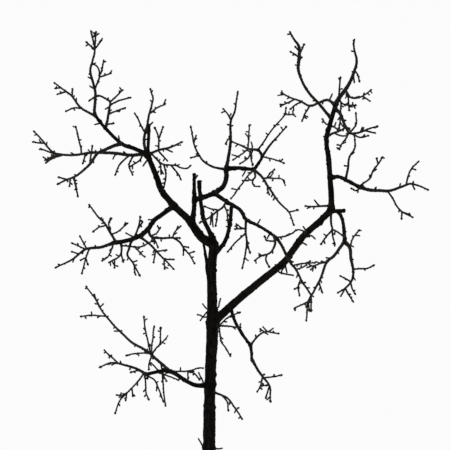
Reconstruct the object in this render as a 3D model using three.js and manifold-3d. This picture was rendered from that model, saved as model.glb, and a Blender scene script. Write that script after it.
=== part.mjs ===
// A bare winter tree: a trunk cut flat at ground level, its boughs and cut stubs, and sprays of leafless
// twigs. Millimetres, +Z up, +X to the right and +Y away from the front. The origin is the middle of the cut
// at the ground.
import * as THREE from "three";
import { mergeVertices } from "three/addons/utils/BufferGeometryUtils.js";
import Module from "manifold-3d";

const wasm = await Module();
wasm.setup();

// ---- Driving dimensions -------------------------------------------------------------------------------
const CM = 10; // the steps in the two tables below are in centimetres
const lift = 0.06; // a limb climbs by this share of what it swings back
const deepen = 1.2; // how much fuller the crown is, front to back, than the swings in the tables
const gap = 0.3; // clearance where one limb is seated on another
const barkColour = 0x2b2622;
const twigColour = 0x332c27;

const trunkWide = [156, 84]; // diameters at the ground, without the flare, and at the fork
const flare = { reach: 62, height: 190, ribs: 5, ribDepth: 0.3 }; // the root flare and its buttress ribs
const collar = { swell: 0.32, length: 0.8 }; // a bough's swollen foot, in shares of its and its carrier's size

const shootTaper = [15, 12.5]; // diameters of a shoot at its foot and tip
const spurTaper = [13, 11.5];
const spur = { every: 430, shortest: 26, longest: 58, lean: [35, 70], fromTip: 12 };
const goldenAngle = 137.5; // successive spurs turn by this round their twig
const shootSwing = [22, 48]; // degrees that a shoot swings back or forth from its spray
const touch = 7; // a spur that comes this near another limb is left out

// The trunk and boughs. on and at: what it grows on, and after how many of that limb's steps. wide: diameters
// at foot and tip. back: degrees that it swings to the far side. steps: [across, up] in centimetres as seen
// from the front. knob: how far its end swells over a knot or a healed cut. swell: where else it is thicker,
// after how many steps, by what share and over what length.
const boughs = {
  trunk: {
    wide: trunkWide, back: 0, swell: [8.9, 0.16, 240],
    steps: [
      [0, 6], [0, 12], [0, 22], [0, 30], [0, 50], [0, 60], [0.7, 50], [0.9, 35], [1.7, 35], [-0.4, 50],
      [0.4, 18], [1.7, 22],
    ],
  },
  left_leader: {
    on: "trunk", at: 11.9, wide: [80, 52], back: 15, knob: 0.75, swell: [2.5, 0.2, 140],
    steps: [[-6.8, 1.4], [-6, 4], [-5, 6.8], [-7, 9.7], [-16.1, 15.8], [-11.5, 14], [-6.5, 17], [-9, 21]],
  },
  prop: {
    on: "trunk", at: 9.9, wide: [40, 23], back: 4,
    steps: [[-4.4, 11], [-0.9, 11], [-1.8, 11], [-2.3, 12]],
  },
  upper_left: {
    on: "left_leader", at: 7.95, wide: [44, 30], back: -12,
    steps: [[-13, 6], [-13, 5], [-16, 15.5], [-10, 12.5]],
  },
  knot_stub: {
    on: "left_leader", at: 7.9, wide: [32, 32], back: -14, knob: 0.35,
    steps: [[1, 16], [0.5, 16]],
  },
  lower_left: {
    on: "left_leader", at: 4.93, wide: [50, 42], back: -38, knob: 0.3,
    steps: [[-12, -9], [-8, -6], [-6, -9], [-8, -6.5], [-12, -4.5], [-12, -2]],
  },
  left_stub: {
    on: "left_leader", at: 3.75, wide: [52, 30], back: -6, knob: 0.5,
    steps: [[2.2, 11.6], [0.5, 12], [0, 10], [0, 17]],
  },
  right_stub: {
    on: "trunk", at: 11.9, wide: [48, 34], back: -14, knob: 0.25, swell: [5, 0.35, 70],
    steps: [[-5.1, 12], [-5, 11], [-2.4, 14], [-1.5, 13], [-0.5, 12]],
  },
  centre_bough: {
    on: "left_stub", at: 2, wide: [50, 50], back: 38,
    steps: [[9.3, 2.6], [10.5, 4.3], [8.8, 6.4], [3.6, 9], [-0.3, 9.5]],
  },
  centre_arm: {
    on: "centre_bough", at: 5, wide: [44, 26], back: 22,
    steps: [[12.5, 1], [15, -1], [5.5, 6], [3.5, 6.5], [-3, 7]],
  },
  centre_outer: {
    on: "centre_bough", at: 2, wide: [42, 28], back: -42,
    steps: [[12.4, -8.6], [13.7, -8.6], [5.8, -9.3], [12, -6.4], [9, -5.5], [9, -6.5]],
  },
  right_bough: {
    on: "trunk", at: 9.16, wide: [80, 62], back: -14,
    steps: [[12.7, 11], [12, 11], [24, 20], [22, 18], [7, 9], [7, 10], [7, 9], [10, 9], [16, 15]],
  },
  right_leader: {
    on: "right_bough", at: 9, wide: [58, 44], back: 12,
    steps: [[0, 16], [-1, 17], [-1, 17], [-2, 14], [0, 10], [3, 10], [3, 11], [3, 10]],
  },
  right_outer: {
    on: "right_leader", at: 2, wide: [38, 34], back: -35, knob: 0.3,
    steps: [[9, 0], [8, -4], [11, -6]],
  },
  elbow_stub: {
    on: "right_bough", at: 8.95, wide: [34, 32], back: -10, knob: 0.3,
    steps: [[8, 0], [7, 1]],
  },
  right_droop: { on: "elbow_stub", at: 1, wide: [36, 33], back: 35, steps: [[4, -9], [2, -11], [1, -11]] },
  low_right: {
    on: "right_bough", at: 1.5, wide: [33, 29], back: -40,
    steps: [[4, -13], [6.5, -12], [9, -13], [1.5, -13]],
  },
  low_left: {
    on: "trunk", at: 7.4, wide: [45, 34], back: -25, knob: 0.3,
    steps: [[-13.4, 0], [-11, 5], [-10, 7], [-9, 3], [-10, -1], [-9, -2]],
  },
  riser: {
    on: "trunk", at: 11.3, wide: [44, 37], back: 30, knob: 0.25,
    steps: [[7, 7], [6, 9], [4, 15], [2, 19]],
  },
};

// The sprays: one stem each, grown like a bough, and its shoots. A shoot is the number of stem steps to its
// foot, then its own steps, across and up in turn, in centimetres, and last any shoots that it carries itself.
const sprays = {
  spray_top_left: {
    on: "upper_left", at: 4, wide: [24, 13], back: -18,
    steps: [[-1, 5], [1.5, 14], [-0.5, 7], [-4.5, 17], [2.5, 11], [2, 12], [-3, 17]],
    shoots: [
      [3, 4, 13, -1, 9, -4, 4, [1.1, 2.5, 5, 1.5, 10], [1, 6, 1, 6, 1.5]], [6, 2, 16], [6, -8, 7], [6, 7, 8],
    ],
  },
  spray_upper_inner: {
    on: "upper_left", at: 3, wide: [22, 13], back: 30,
    steps: [[2, 9], [2, 12], [0, 6], [-5.5, 4], [-7.5, 3], [-8, -5]],
    shoots: [[3, 6, 5.5, 6, 7], [2.35, 10, 5, 10, 2.5], [1.4, 8, 4.5, 8, 3], [0.4, 7, 1]],
  },
  spray_upper_far: {
    on: "upper_left", at: 3.9, wide: [20, 12.5], back: 14,
    steps: [[-14.8, 8.7], [-9.8, 11.9], [-6.2, 5.2], [-11.3, 8.7]],
    shoots: [[1, -8, 0.5, -8, -3], [3, -8, -3], [2.05, 0.3, 7.5], [3.5, -5, -1]],
  },
  spray_hanging_left: {
    on: "upper_left", at: 2, wide: [28, 13], back: -35,
    steps: [[-13, -5], [-10, -5.5], [-7, -10], [-12, -12], [-10.5, -4.5], [-8.5, -5]],
    shoots: [[4.3, 1, -9, 2, -10], [4.65, -0.5, -8], [5, -8, 2], [4.4, 4, -12]],
  },
  spray_far_left: {
    on: "left_leader", at: 8, wide: [28, 13], back: 22,
    steps: [[-14, -1.5], [-20, 2], [-19, 1], [-18, -2], [-17, 0], [-9, 3], [-9.5, 10], [-10, 11]],
    shoots: [
      [0.3, -4, -7, -9, -5], [6.9, -6, 0.5, -5, 0.8], [5.2, -9, -2.5, -6, -3, [1, -5, -5]], [5.3, -8, 2, -9, 3],
      [3.8, -0.5, 7, -2.5, 9, -3.5, 12.5], [1.2, -9, -9, -5, -11], [3.2, -2, -9], [0.95, -5, -10.5, 3.5, -9],
      [3.2, 0.3, 7], [3.55, -2.5, -9.5], [4.9, -10, -3, -8, -4.5],
    ],
  },
  spray_knot_up: {
    on: "left_leader", at: 8, wide: [24, 13], back: 35,
    steps: [[-2.5, 8], [0, 10], [2.5, 12], [2, 11], [2.5, 12], [1, 5], [-3, 9]],
    shoots: [[4.05, 7.5, 6, 7, 4], [2.3, -4.5, 8, -3.5, 7.5]],
  },
  spray_knot_right: {
    on: "left_leader", at: 7.95, wide: [22, 12.5], back: -42, steps: [[12, 4], [12, 3], [11.5, 4.5]],
    shoots: [
      [
        0.3, 6, -6, 7, -5, 12, -1.5, 5, -2.2, 6.5, -0.5, 3, 2.5,
        [2, 1.5, -5.5, 1, -6, -1, -6.5, -1.5, -5], [1, 4, -6, 1, -9], [2.6, 7, -9, 2.5, -5],
      ],
      [1, 0, 11, -3, 11, [1, 4.5, 12]], [0.95, 8.5, -10],
    ],
  },
  spray_lower_far: {
    on: "lower_left", at: 6, wide: [28, 13], back: -20,
    steps: [[-12, -4], [-13, -1.5], [-6, -3], [-11, -8.3], [-14.3, -7.5]],
    shoots: [
      [1.9, -3.5, -8, -2, -6, -2.5, -10.5, [1.3, 2, -6], [1.2, -4.5, -2.5]],
      [0.1, -1.5, -7, -3, -6, -5, -4], [2.3, -3.5, 6, -3, 6], [3.35, -6.5, 2], [2.5, -6, 2.5, -7, 3.5],
    ],
  },
  spray_lower_rise: {
    on: "lower_left", at: 5.9, wide: [22, 12.5], back: -45,
    steps: [[-5, 10], [-5.5, 9], [-5, 5.5], [-9, 12]],
    shoots: [[1.75, -7, -2, -5, -4], [1, -1, 9, 2, 5], [0.8, 7, 3, 8, 7.5]],
  },
  spray_lower_mid: {
    on: "lower_left", at: 4.5, wide: [19, 12.5], back: 40, steps: [[4, 9], [1.5, 6], [0.5, 6.5]],
    shoots: [[1.2, 4, 6]],
  },
  spray_lower_reach: {
    on: "lower_left", at: 2.9, wide: [23, 12.5], back: 30,
    steps: [[3, -8], [10, -1.5], [11, 0.5], [7, -4.7], [4, -6], [6, -6.5], [4.3, -8.3]],
    shoots: [
      [3, 2.5, 6.5, 5, 5], [0.9, 6, 3, 3, 5], [1.1, 3.5, -5, 2, -5], [4.9, 0, -6.5], [4.7, 5.5, -1],
      [5.8, 5, 1.5], [3.05, 6.5, -0.5],
    ],
  },
  spray_lower_east: {
    on: "lower_left", at: 4, wide: [22, 12.5], back: -28,
    steps: [[9, -7], [8, -7.5], [8.5, -9], [8.5, -8.5]],
    shoots: [[2.05, 9, 1], [1.9, -0.5, -7, -1, -5], [2.9, 9, -0.5], [2.95, 0.5, -9]],
  },
  spray_lower_drop: {
    on: "lower_left", at: 4.6, wide: [21, 13], back: 16, steps: [[-3, -9], [-2, -7], [6, -8], [6, -12]],
    shoots: [[3.1, 0.5, -8]],
  },
  spray_lower_west: {
    on: "lower_left", at: 5.5, wide: [20, 12.5], back: 38, steps: [[0.5, -8], [-3, -7], [-9.5, -5.5]],
    shoots: [[0.4, 6, -1, 7, -1, 8, 1, 7, 4, 6, 4.5, [2, 4, -5, 5, -5]], [1.3, 1, -5, 1, -4], [2.5, 0, -8]],
  },
  spray_centre_top: {
    on: "centre_bough", at: 5, wide: [30, 13], back: 12,
    steps: [[3, 14], [1.5, 17], [0.5, 18], [4, 11], [3, 18.5]],
    shoots: [[3.05, -3, 6, -5, 6], [2.1, -3, -3, -2, -4]],
  },
  spray_centre_left: {
    on: "centre_bough", at: 4.9, wide: [21, 12.5], back: -24,
    steps: [[-13, 3], [-9, 4.5], [-5, 6.5], [-5.5, 12.5], [-3, 16]],
    shoots: [[3, -8, -2], [4, 2, 7]],
  },
  spray_arm_crown: {
    on: "centre_arm", at: 5, wide: [24, 12.5], back: 42, steps: [[-11, 2], [-8, 3.5], [-8, 4]],
    shoots: [
      [1, 1, 13, 0.5, 12], [0.1, 5, 7, 7, 10, 8, 10, 8, 9, [4, 9, 0.5], [4, 0.5, 6]],
      [1, -7, -6, -8, -5], [0.55, -2, -8, 2, -8], [0.7, -3, -9, -8, -5],
    ],
  },
  spray_arm_long: {
    on: "centre_arm", at: 4, wide: [22, 12.5], back: -14, steps: [[8.5, 12], [7.5, 9], [8.5, 9]],
    shoots: [[0.05, 10, -2.5, 12, -4]],
  },
  spray_arm_fall: {
    on: "centre_arm", at: 2, wide: [24, 12.5], back: 35,
    steps: [[9.5, -8.5], [6, -9], [8, -12], [7.5, -8], [6.5, -7], [5, -12]],
    shoots: [[1.1, 9, 0.5, 9, -0.5, 4, -1.5, [0.4, 4, 5, 4, 4]], [4.9, 9, 2], [1.9, 0, -4, 2, -5]],
  },
  spray_arm_under: {
    on: "centre_arm", at: 2.05, wide: [19, 12.5], back: -48,
    steps: [[1.5, -8], [-2.5, -4], [1.5, -5.5], [5, -1]],
    shoots: [[1.9, -7, -0.5], [0.1, -7, -8, -6, -8, -5, -7, -5, -7]],
  },
  spray_outer_tip: {
    on: "centre_outer", at: 6, wide: [25, 12.5], back: -25,
    steps: [[6, -10], [7, -14], [6, -8], [6, -11.3], [6.8, -11], [1.5, -6.5], [-0.3, -10]],
    shoots: [
      [2.4, 10, 2, 12, 1], [0, 7.5, 1.5, 7.2, 2.7, 6, 3.5, 7, -1.5],
      [3.75, -2.5, -8, 1, -8, [0.5, 5, 0.5], [1, -3.5, -1.5]], [2.95, 5, 2, 4.5, 3],
    ],
  },
  spray_outer_hang: {
    on: "centre_outer", at: 5.7, wide: [21, 12.5], back: -52,
    steps: [[1, -8], [-3, -7], [-5, -3], [-6, -2], [-6, -4]],
    shoots: [[3, -1, -6, 3, -6], [0.7, -8, 1, -2, 4]],
  },
  spray_outer_drop: {
    on: "centre_outer", at: 3, wide: [20, 12.5], back: -15,
    steps: [[-0.5, -12], [1.5, -11], [-2, -12], [-2.5, -13]],
    shoots: [[1.15, -8.5, -8, -9, -10.5], [0.8, -10, 0], [0.8, -4, 1, -4.5, 3.5], [2, 3, -10]],
  },
  spray_outer_inner: {
    on: "centre_outer", at: 1, wide: [19, 12.5], back: -44,
    steps: [[-4, -6], [-5, -4], [-8, -6], [-9, -5.5]],
    shoots: [[1.7, -8, 1, -6, 2.5], [0.6, 3, -8, 1, -9], [2, -0.5, -8, -1, -6]],
  },
  spray_right_top: {
    on: "right_leader", at: 8, wide: [36, 13], back: 12,
    steps: [[3, 6], [7, 10], [5.5, 9], [4, 10], [2, 10], [-2, 11], [-0.5, 9]],
    shoots: [
      [2, 5, -7, 5, -1, 8, 2, 9, 7, [3, 8, -4]], [1, 1, 10, 0.5, 11], [4, 3, -4, 2, -6],
      [1.1, 3, -5, 5, -2, 8, 0, [0.7, 0, -12, -1, -13]], [2, 3, -8, 1.5, -12], [3.6, 1, -7],
    ],
  },
  spray_horn: {
    on: "right_leader", at: 6.7, wide: [24.5, 14], back: -25, swell: [5, 0.6, 180],
    steps: [[-11, 12], [-11, 12], [-7.5, 11], [-4, 12], [0.5, 13], [-0.5, 10], [-4, 6], [-4.5, 7]],
    shoots: [[4.9, -4, 3.5, -4, 2.5], [5.1, 2, 5, 2.5, 5], [5.5, -3.5, 4]],
  },
  spray_right_west: {
    on: "right_leader", at: 8, wide: [24, 12.5], back: 40,
    steps: [[-7, 5.5], [-9, -2.5], [-9, -2.5], [-10, 5], [-9, 4], [-9, 4.5]],
    shoots: [[3, -4, -7, -3, -7], [3.8, -6, -3, -5, -4], [4.5, -7, -3, -7, -3.5]],
  },
  spray_right_inner: {
    on: "right_leader", at: 7.7, wide: [28, 12.5], back: -36,
    steps: [[6, -7], [4, -11], [4, -7.5], [9, 0.5], [9, 3], [8.5, 2.5]],
    shoots: [
      [3, 4, 5, 3, 5, 0, 10], [2.95, -4, -6, -4, -6, -3, -5], [4.6, 10, -2], [3.1, 9, -4, 8, 1],
    ],
  },
  spray_leader_mid: {
    on: "right_leader", at: 4.9, wide: [21, 12.5], back: 38, steps: [[7, 4], [7, 3], [6, 3], [3, -1]],
    shoots: [[2, -6, 4, -7, 3.5, -3.5, 5]],
  },
  spray_outer_east: {
    on: "right_outer", at: 3, wide: [29, 13], back: -15,
    steps: [[9, -3], [11, -0.5], [10, -0.5], [10, 3.5], [9, 3.5], [8, -2], [9, -4]],
    shoots: [
      [4.6, 2, 8, 3, 6, 3.5, 4.5, 4.5, 4.5], [0, 4, 3.5, 6, 5, 3, 7, 4.5, 6.5, 3.5, 6.5, [4, -1.5, 5]],
      [2.75, 4.5, -6.5, 4.5, -8, 5.5, -5.5, 10, -5.5, [3, 0, -7]], [0.2, -5, -3, -4, 2],
    ],
  },
  spray_outer_mid: {
    on: "right_outer", at: 1.8, wide: [20, 12.5], back: 34,
    steps: [[2, 10], [2, 12], [5.5, 9.5], [0.5, 9]], shoots: [],
  },
  spray_droop_outer: {
    on: "right_droop", at: 3, wide: [29, 13], back: 20,
    steps: [[5, -6], [1.5, -11], [2, -12], [-1.5, -10], [-6, -7], [-7, -4]],
    shoots: [
      [1, 2, 7, 4, 6, 4, 5], [2.8, 7, 0.5, 7, 0, 6, 3], [4.1, -5, 3, -5, 3], [5, 3, -6, 4, -7],
      [4.2, 2, -6, 3, -5],
    ],
  },
  spray_droop_inner: {
    on: "right_droop", at: 2.75, wide: [26, 12.5], back: 44,
    steps: [
      [-3, -6], [-6, -9], [-7.5, -7], [-4, -10], [-3.5, -10], [-4.5, -9], [-5, -9], [-2, -8.5], [-0.5, -14],
    ],
    shoots: [
      [2.95, -10, -4, -9, -3, [1.1, -5, -4.5]], [7.5, 1, -8], [7.4, -5, -2.5, -8, -4.5], [5.1, 3, -10],
    ],
  },
  spray_elbow_hang: {
    on: "right_bough", at: 8.95, wide: [19, 12.5], back: -40,
    steps: [[0.5, -12], [0.5, -6], [-5, -6], [-6, -8.5]],
    shoots: [[2, 1, -7, 2, -7], [2, 7, -4, 4, -3]],
  },
  spray_elbow_left: {
    on: "right_leader", at: 0.3, wide: [19, 12.5], back: -48,
    steps: [[-12, -1], [-14, 0]], shoots: [],
  },
  spray_low_right: {
    on: "low_right", at: 4, wide: [25, 12.5], back: -22, steps: [[5.5, -9], [6, -8.5], [6, -9], [0.5, -13]],
    shoots: [[2, 8, 1, 9, 1.5], [1.85, -2, -7.5, -3.5, -6], [2.9, -3.5, -11], [2.8, -7, 0]],
  },
  spray_low_curl: {
    on: "low_right", at: 3.2, wide: [19, 12.5], back: 42, steps: [[1.5, 6], [6, 6.5], [8, 3.5], [12, -2]],
    shoots: [[2.8, -4, 3]],
  },
  spray_low_left: {
    on: "low_left", at: 6, wide: [25, 12.5], back: -22,
    steps: [[-9, 5], [-9, 3.5], [-10, 3], [-8, 0], [-9, -3.5]],
    shoots: [
      [0.3, -6, -9, -12, -12, -6, -7, -4.5, -12, [1.5, 0.5, -8], [2.2, -7, 1], [1.9, -1, -7]],
      [2.95, -6, 6, -6.5, 7.5],
      [0.3, 1.5, -11, 0.5, -10, 2, -6, [0.2, 9.5, -4.5, 4, -9, 5, -13]], [0.8, -8, -1.5],
      [0.05, 9, 1.5, 10, -3, 12, -5.5],
    ],
  },
  spray_low_rise: {
    on: "low_left", at: 3.5, wide: [26, 12.5], back: 34,
    steps: [[-11, 9], [-9, 8], [-11, 6.5], [-11, 6.5], [-11, 10], [-12, 12], [-7, 9.5], [-7, 11], [-8, 10.5]],
    shoots: [
      [6.15, -13, 0.8, -13, -1.5], [2, -3, 13, -2, 9, -1.5, 15], [2, 1, 12, 1, 14],
      [1.9, 4, 6, 4, 5, 0.5, 8, 0.3, 8, [1.4, 8, 7.5]],
      [2.05, -12, 0, -13, -3], [0.9, 1.5, -9, 1, -10, 0.5, -11, 2, -11, [1.2, 4, -7]],
      [7.1, -3.5, 7, -2.5, 5], [1.9, -3, -9, 0, -5],
      [0.1, 9, -1, 8, 0, 11, 2.5, 4.5, -0.3, [2.2, 6, -4, 4.5, -5.5], [2.1, 0.3, -7]],
    ],
  },
  spray_trunk_low: {
    on: "trunk", at: 7.23, wide: [19, 12.5], back: -40, steps: [[10.6, -3], [8, -4.5], [8, -10], [5, -8]],
    shoots: [[1.1, 6, -7, 1, -8]],
  },
  spray_trunk_right: {
    on: "trunk", at: 9.11, wide: [18, 12.5], back: -50, steps: [[8.7, -0.5], [10, -0.5], [9, -0.5]],
    shoots: [[0.8, 9, 8, 11, 5], [0.8, 1.5, -13, 4.5, -7.5, 5, -7.5]],
  },
};

// ---- Seeded draws and routes --------------------------------------------------------------------------
// Numbers between low and high that are the same on every run: a linear congruential series from one seed.
function seededDraws(seed) {
  let state = (seed * 2654435761) % 4294967296;
  return (low, high) => {
    state = (state * 1664525 + 1013904223) % 4294967296;
    return low + ((high - low) * state) / 4294967296;
  };
}

const tangent = (degrees) => Math.tan(THREE.MathUtils.degToRad(degrees));

// The points of a route from its foot: each step goes across and up, and swings back by its length and the
// angle.
function routeFrom(foot, steps, back) {
  const points = [foot.clone()];
  for (const [across, up] of steps) {
    const far = deepen * Math.hypot(across, up) * CM * tangent(back);
    points.push(points.at(-1).clone().add(new THREE.Vector3(across * CM, far, up * CM + far * lift)));
  }
  return points;
}

const curveOf = (points) => new THREE.CatmullRomCurve3(points, false, "catmullrom", 0.5);
const pointAt = (limb, at) => limb.curve.getPoint(Math.min(1, at / (limb.points.length - 1)));

// How far along a route a number of steps comes, in millimetres, and the even taper of a limb at that place.
function alongRoute(points, at) {
  const whole = Math.min(Math.floor(at), points.length - 2);
  let sum = (at - whole) * points[whole].distanceTo(points[whole + 1]);
  for (let i = 0; i < whole; i++) sum += points[i].distanceTo(points[i + 1]);
  return sum;
}
const lengthOf = (points) => alongRoute(points, points.length - 1);
const taperAt = ({ points, wide: [foot, tip] }, at) =>
  THREE.MathUtils.lerp(foot, tip, alongRoute(points, at) / lengthOf(points)) / 2;

// ---- Solids -------------------------------------------------------------------------------------------
// A closed tapering tube: a cylinder of unit size whose rings are carried along the curve. radius(t, angle) is
// the radius at a share t of the curve of the round limb that it stands for. Its corners lie a little outside
// that, so that the outline of the few-sided section is as long as the circle.
function tube(curve, radius, sides, rings) {
  const corner = Math.PI / sides / Math.sin(Math.PI / sides);
  const geometry = new THREE.CylinderGeometry(corner, corner, 1, sides, rings);
  const ringOf = [];
  let side = new THREE.Vector3(1, 0, 0);
  for (let ring = 0; ring <= rings; ring++) {
    const centre = curve.getPoint(ring / rings);
    const along = curve.getTangent(ring / rings);
    if (Math.abs(side.dot(along)) > 0.95) side = new THREE.Vector3(0, 1, 0);
    side = side.clone().addScaledVector(along, -side.dot(along)).normalize();
    ringOf.push({ centre, side, third: side.clone().cross(along) });
  }
  const place = geometry.getAttribute("position");
  for (let i = 0; i < place.count; i++) {
    const share = place.getY(i) + 0.5;
    const { centre, side: across, third } = ringOf[Math.round(share * rings)];
    const out = Math.hypot(place.getX(i), place.getZ(i));
    const r = out * radius(share, Math.atan2(place.getZ(i), place.getX(i)));
    const angle = Math.atan2(place.getZ(i), place.getX(i));
    const at = centre.clone().addScaledVector(across, r * Math.cos(angle));
    at.addScaledVector(third, r * Math.sin(angle));
    place.setXYZ(i, at.x, at.y, at.z);
  }
  return geometry;
}

// three.js geometry to a manifold-3d solid, and back.
function solidOf(geometry) {
  geometry.deleteAttribute("normal");
  geometry.deleteAttribute("uv");
  const merged = mergeVertices(geometry, 1e-3);
  const vertProperties = merged.getAttribute("position").array;
  const triVerts = new Uint32Array(merged.index.array);
  return new wasm.Manifold(new wasm.Mesh({ numProp: 3, vertProperties, triVerts }));
}

function geometryOf(solid) {
  const { vertProperties, triVerts } = solid.getMesh();
  const geometry = new THREE.BufferGeometry();
  geometry.setAttribute("position", new THREE.BufferAttribute(vertProperties, 3));
  geometry.setIndex(new THREE.BufferAttribute(triVerts, 1));
  return geometry;
}

// Sides of a limb's section: each row is a diameter and the sides of a limb that is thicker at its foot.
const sidesOver = [[80, 12], [45, 8], [30, 6], [25, 4], [0, 3]];
const sidesFor = (diameter) => sidesOver.find(([least]) => diameter > least)[1];

// The radius along a bough: an even taper, a collar at its foot, a knob at its end and the swell that its table
// gives. The trunk has its root flare in place of the collar, in ribs that fade as they rise.
function boughRadius(limb) {
  const steps = limb.points.length - 1;
  const length = lengthOf(limb.points);
  const seat = limb.carrier ? taperAt(limb.carrier, limb.at) : 0;
  const [at, share, reach] = limb.swell ?? [0, 0, 1];
  const middle = alongRoute(limb.points, at);
  return (t, angle) => {
    const along = alongRoute(limb.points, t * steps);
    let r = taperAt(limb, t * steps);
    r *= 1 + share * Math.exp(-(((along - middle) / reach) ** 2));
    if (limb.carrier) {
      r *= 1 + collar.swell * Math.exp(-Math.max(0, along - seat) / (collar.length * seat + 4));
      r *= 1 + (limb.knob ?? 0) * Math.exp(-(((length - along) / (limb.wide[1] * 0.7)) ** 2));
    } else {
      const ribs = 1 + flare.ribDepth * Math.cos(flare.ribs * angle);
      r += flare.reach * ribs * Math.exp(-along / flare.height);
    }
    return r;
  };
}

// The solid of one limb, shoot or spur, and the space round it that later limbs keep clear of: the same tube, a
// gap wider and longer at both ends.
function limbSolids(points, radius, sides) {
  const rings = points.length - 1;
  const clear = gap / Math.cos(Math.PI / sides);
  const beyond = (end, inner) => end.clone().add(end.clone().sub(inner).setLength(2 * gap));
  const longer = [beyond(points[0], points[1]), ...points.slice(1, -1), beyond(points.at(-1), points.at(-2))];
  const solid = solidOf(tube(curveOf(points), radius, sides, rings));
  const space = solidOf(tube(curveOf(longer), (t, angle) => radius(t, angle) + clear, sides, rings));
  return { solid, space, box: new THREE.Box3().setFromPoints(points).expandByScalar(radius(0, 0) * 2) };
}

// ---- The growing rule ---------------------------------------------------------------------------------
const limbs = {}; // every bough and stem, by name
const bones = []; // every straight stretch of every limb, for the touch rule

function addBones(owner, points, wide) {
  for (let i = 1; i < points.length; i++)
    bones.push({ owner, from: points[i - 1], to: points[i], radius: Math.max(...wide) / 2 });
}

// True where a straight twig comes too near a limb that isn't its own.
function touches(owner, from, to, radius) {
  const nearest = new THREE.Vector3();
  const count = Math.ceil(from.distanceTo(to) / 10);
  for (let i = 1; i <= count; i++) {
    const point = from.clone().lerp(to, i / count);
    for (const bone of bones) {
      if (bone.owner === owner) continue;
      new THREE.Line3(bone.from, bone.to).closestPointToPoint(point, true, nearest);
      if (nearest.distanceTo(point) < bone.radius + radius + touch) return true;
    }
  }
  return false;
}

function plant(name, spec) {
  const carrier = limbs[spec.on];
  const foot = carrier ? pointAt(carrier, spec.at) : new THREE.Vector3();
  const points = routeFrom(foot, spec.steps, spec.back);
  limbs[name] = { ...spec, name, carrier, points, curve: curveOf(points), pieces: [] };
  addBones(name, points, spec.wide);
}

// The shoots of a spray swing to the far side and the near side in turn, by a seeded angle.
function growShoots(limb, carrier, shoots, draw) {
  return shoots.flatMap(([at, ...rest], i) => {
    const moves = rest.filter(Number.isFinite);
    const steps = moves.flatMap((across, k) => (k % 2 ? [] : [[across, moves[k + 1]]]));
    const back = limb.back / 2 + (i % 2 ? -1 : 1) * draw(...shootSwing);
    const points = routeFrom(pointAt(carrier, at), steps, back);
    addBones(limb.name, points, shootTaper);
    const onward = { points, curve: curveOf(points) };
    return [points, ...growShoots(limb, onward, rest.filter(Array.isArray), draw)];
  });
}

// Spurs stand off a twig in a rising spiral. One that comes too near another limb is left out.
function growSpurs(limb, twig, draw) {
  const found = [];
  let turn = draw(0, 360);
  let along = draw(0.3, 0.8) * spur.every;
  for (let i = 1; i < twig.length; i++) {
    const span = twig[i].distanceTo(twig[i - 1]);
    const ahead = twig[i].clone().sub(twig[i - 1]).normalize();
    const side = new THREE.Vector3(0, 1, 0).cross(ahead).normalize();
    const third = ahead.clone().cross(side);
    for (; along < span; along += spur.every * draw(0.6, 1.2)) {
      turn += goldenAngle + draw(-20, 20);
      const lean = THREE.MathUtils.degToRad(draw(...spur.lean));
      const length = draw(spur.shortest, spur.longest);
      const spin = THREE.MathUtils.degToRad(turn);
      const aim = ahead.clone().multiplyScalar(Math.cos(lean));
      aim.addScaledVector(side, Math.sin(lean) * Math.cos(spin));
      aim.addScaledVector(third, Math.sin(lean) * Math.sin(spin));
      const foot = twig[i - 1].clone().addScaledVector(ahead, Math.min(along, span - spur.fromTip));
      const tip = foot.clone().addScaledVector(aim, length);
      if (touches(limb.name, foot, tip, spurTaper[0] / 2)) continue;
      found.push([foot, tip]);
      addBones(limb.name, [foot, tip], spurTaper);
    }
    along -= span;
  }
  return found;
}

for (const [name, spec] of Object.entries(boughs)) plant(name, spec);
for (const [name, spec] of Object.entries(sprays)) plant(name, spec);
const sprayLimbs = Object.keys(sprays).map((name) => limbs[name]);
sprayLimbs.forEach((limb, i) => {
  limb.draw = seededDraws(i + 1);
  limb.twigs = growShoots(limb, limb, limb.shoots, limb.draw);
});
for (const limb of sprayLimbs)
  limb.spurs = [limb.points.slice(1), ...limb.twigs].flatMap((twig) => growSpurs(limb, twig, limb.draw));

// ---- The tree -----------------------------------------------------------------------------------------
const tapered = ([foot, tip]) => (t) => THREE.MathUtils.lerp(foot, tip, t) / 2;

function piecesOf(limb) {
  const thick = sidesFor(limb.wide[0]);
  const main = limbSolids(limb.points, boughRadius(limb), thick);
  if (!limb.shoots) return [main];
  const shoots = limb.twigs.map((points) => limbSolids(points, tapered(shootTaper), 3));
  const spurs = limb.spurs.map((points) => limbSolids(points, tapered(spurTaper), 3));
  return [main, ...shoots, ...spurs];
}

// A spray keeps its largest body: a twig that a limb cut off from its stem is dropped.
const largest = (solid) => solid.decompose().sort((a, b) => b.volume() - a.volume())[0];

const tree = new THREE.Group();
const bark = new THREE.MeshStandardMaterial({ color: barkColour, roughness: 0.9, metalness: 0 });
const twigBark = new THREE.MeshStandardMaterial({ color: twigColour, roughness: 0.8, metalness: 0 });
const placed = [];

for (const limb of Object.values(limbs)) {
  const pieces = piecesOf(limb);
  let solid = pieces.map((piece) => piece.solid).reduce((whole, part) => whole.add(part));
  const box = pieces.reduce((whole, piece) => whole.union(piece.box), new THREE.Box3());
  for (const other of placed) if (other.box.intersectsBox(box)) solid = solid.subtract(other.space);
  placed.push(...pieces);
  const mesh = new THREE.Mesh(geometryOf(largest(solid)), limb.shoots ? twigBark : bark);
  mesh.name = limb.name;
  tree.add(mesh);
}

export default tree;
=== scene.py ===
# %% [markdown]
# # A bare winter tree
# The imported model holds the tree's wood as plain tapering solids: a trunk, its boughs, and sprays of twigs
# that grow from their tips. Here each limb gets its bark, and each spray is grown again by the same rule
# and carried on to the finer spurs and the buds that a real tree carries in winter.

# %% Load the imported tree
import itertools
import math

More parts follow.
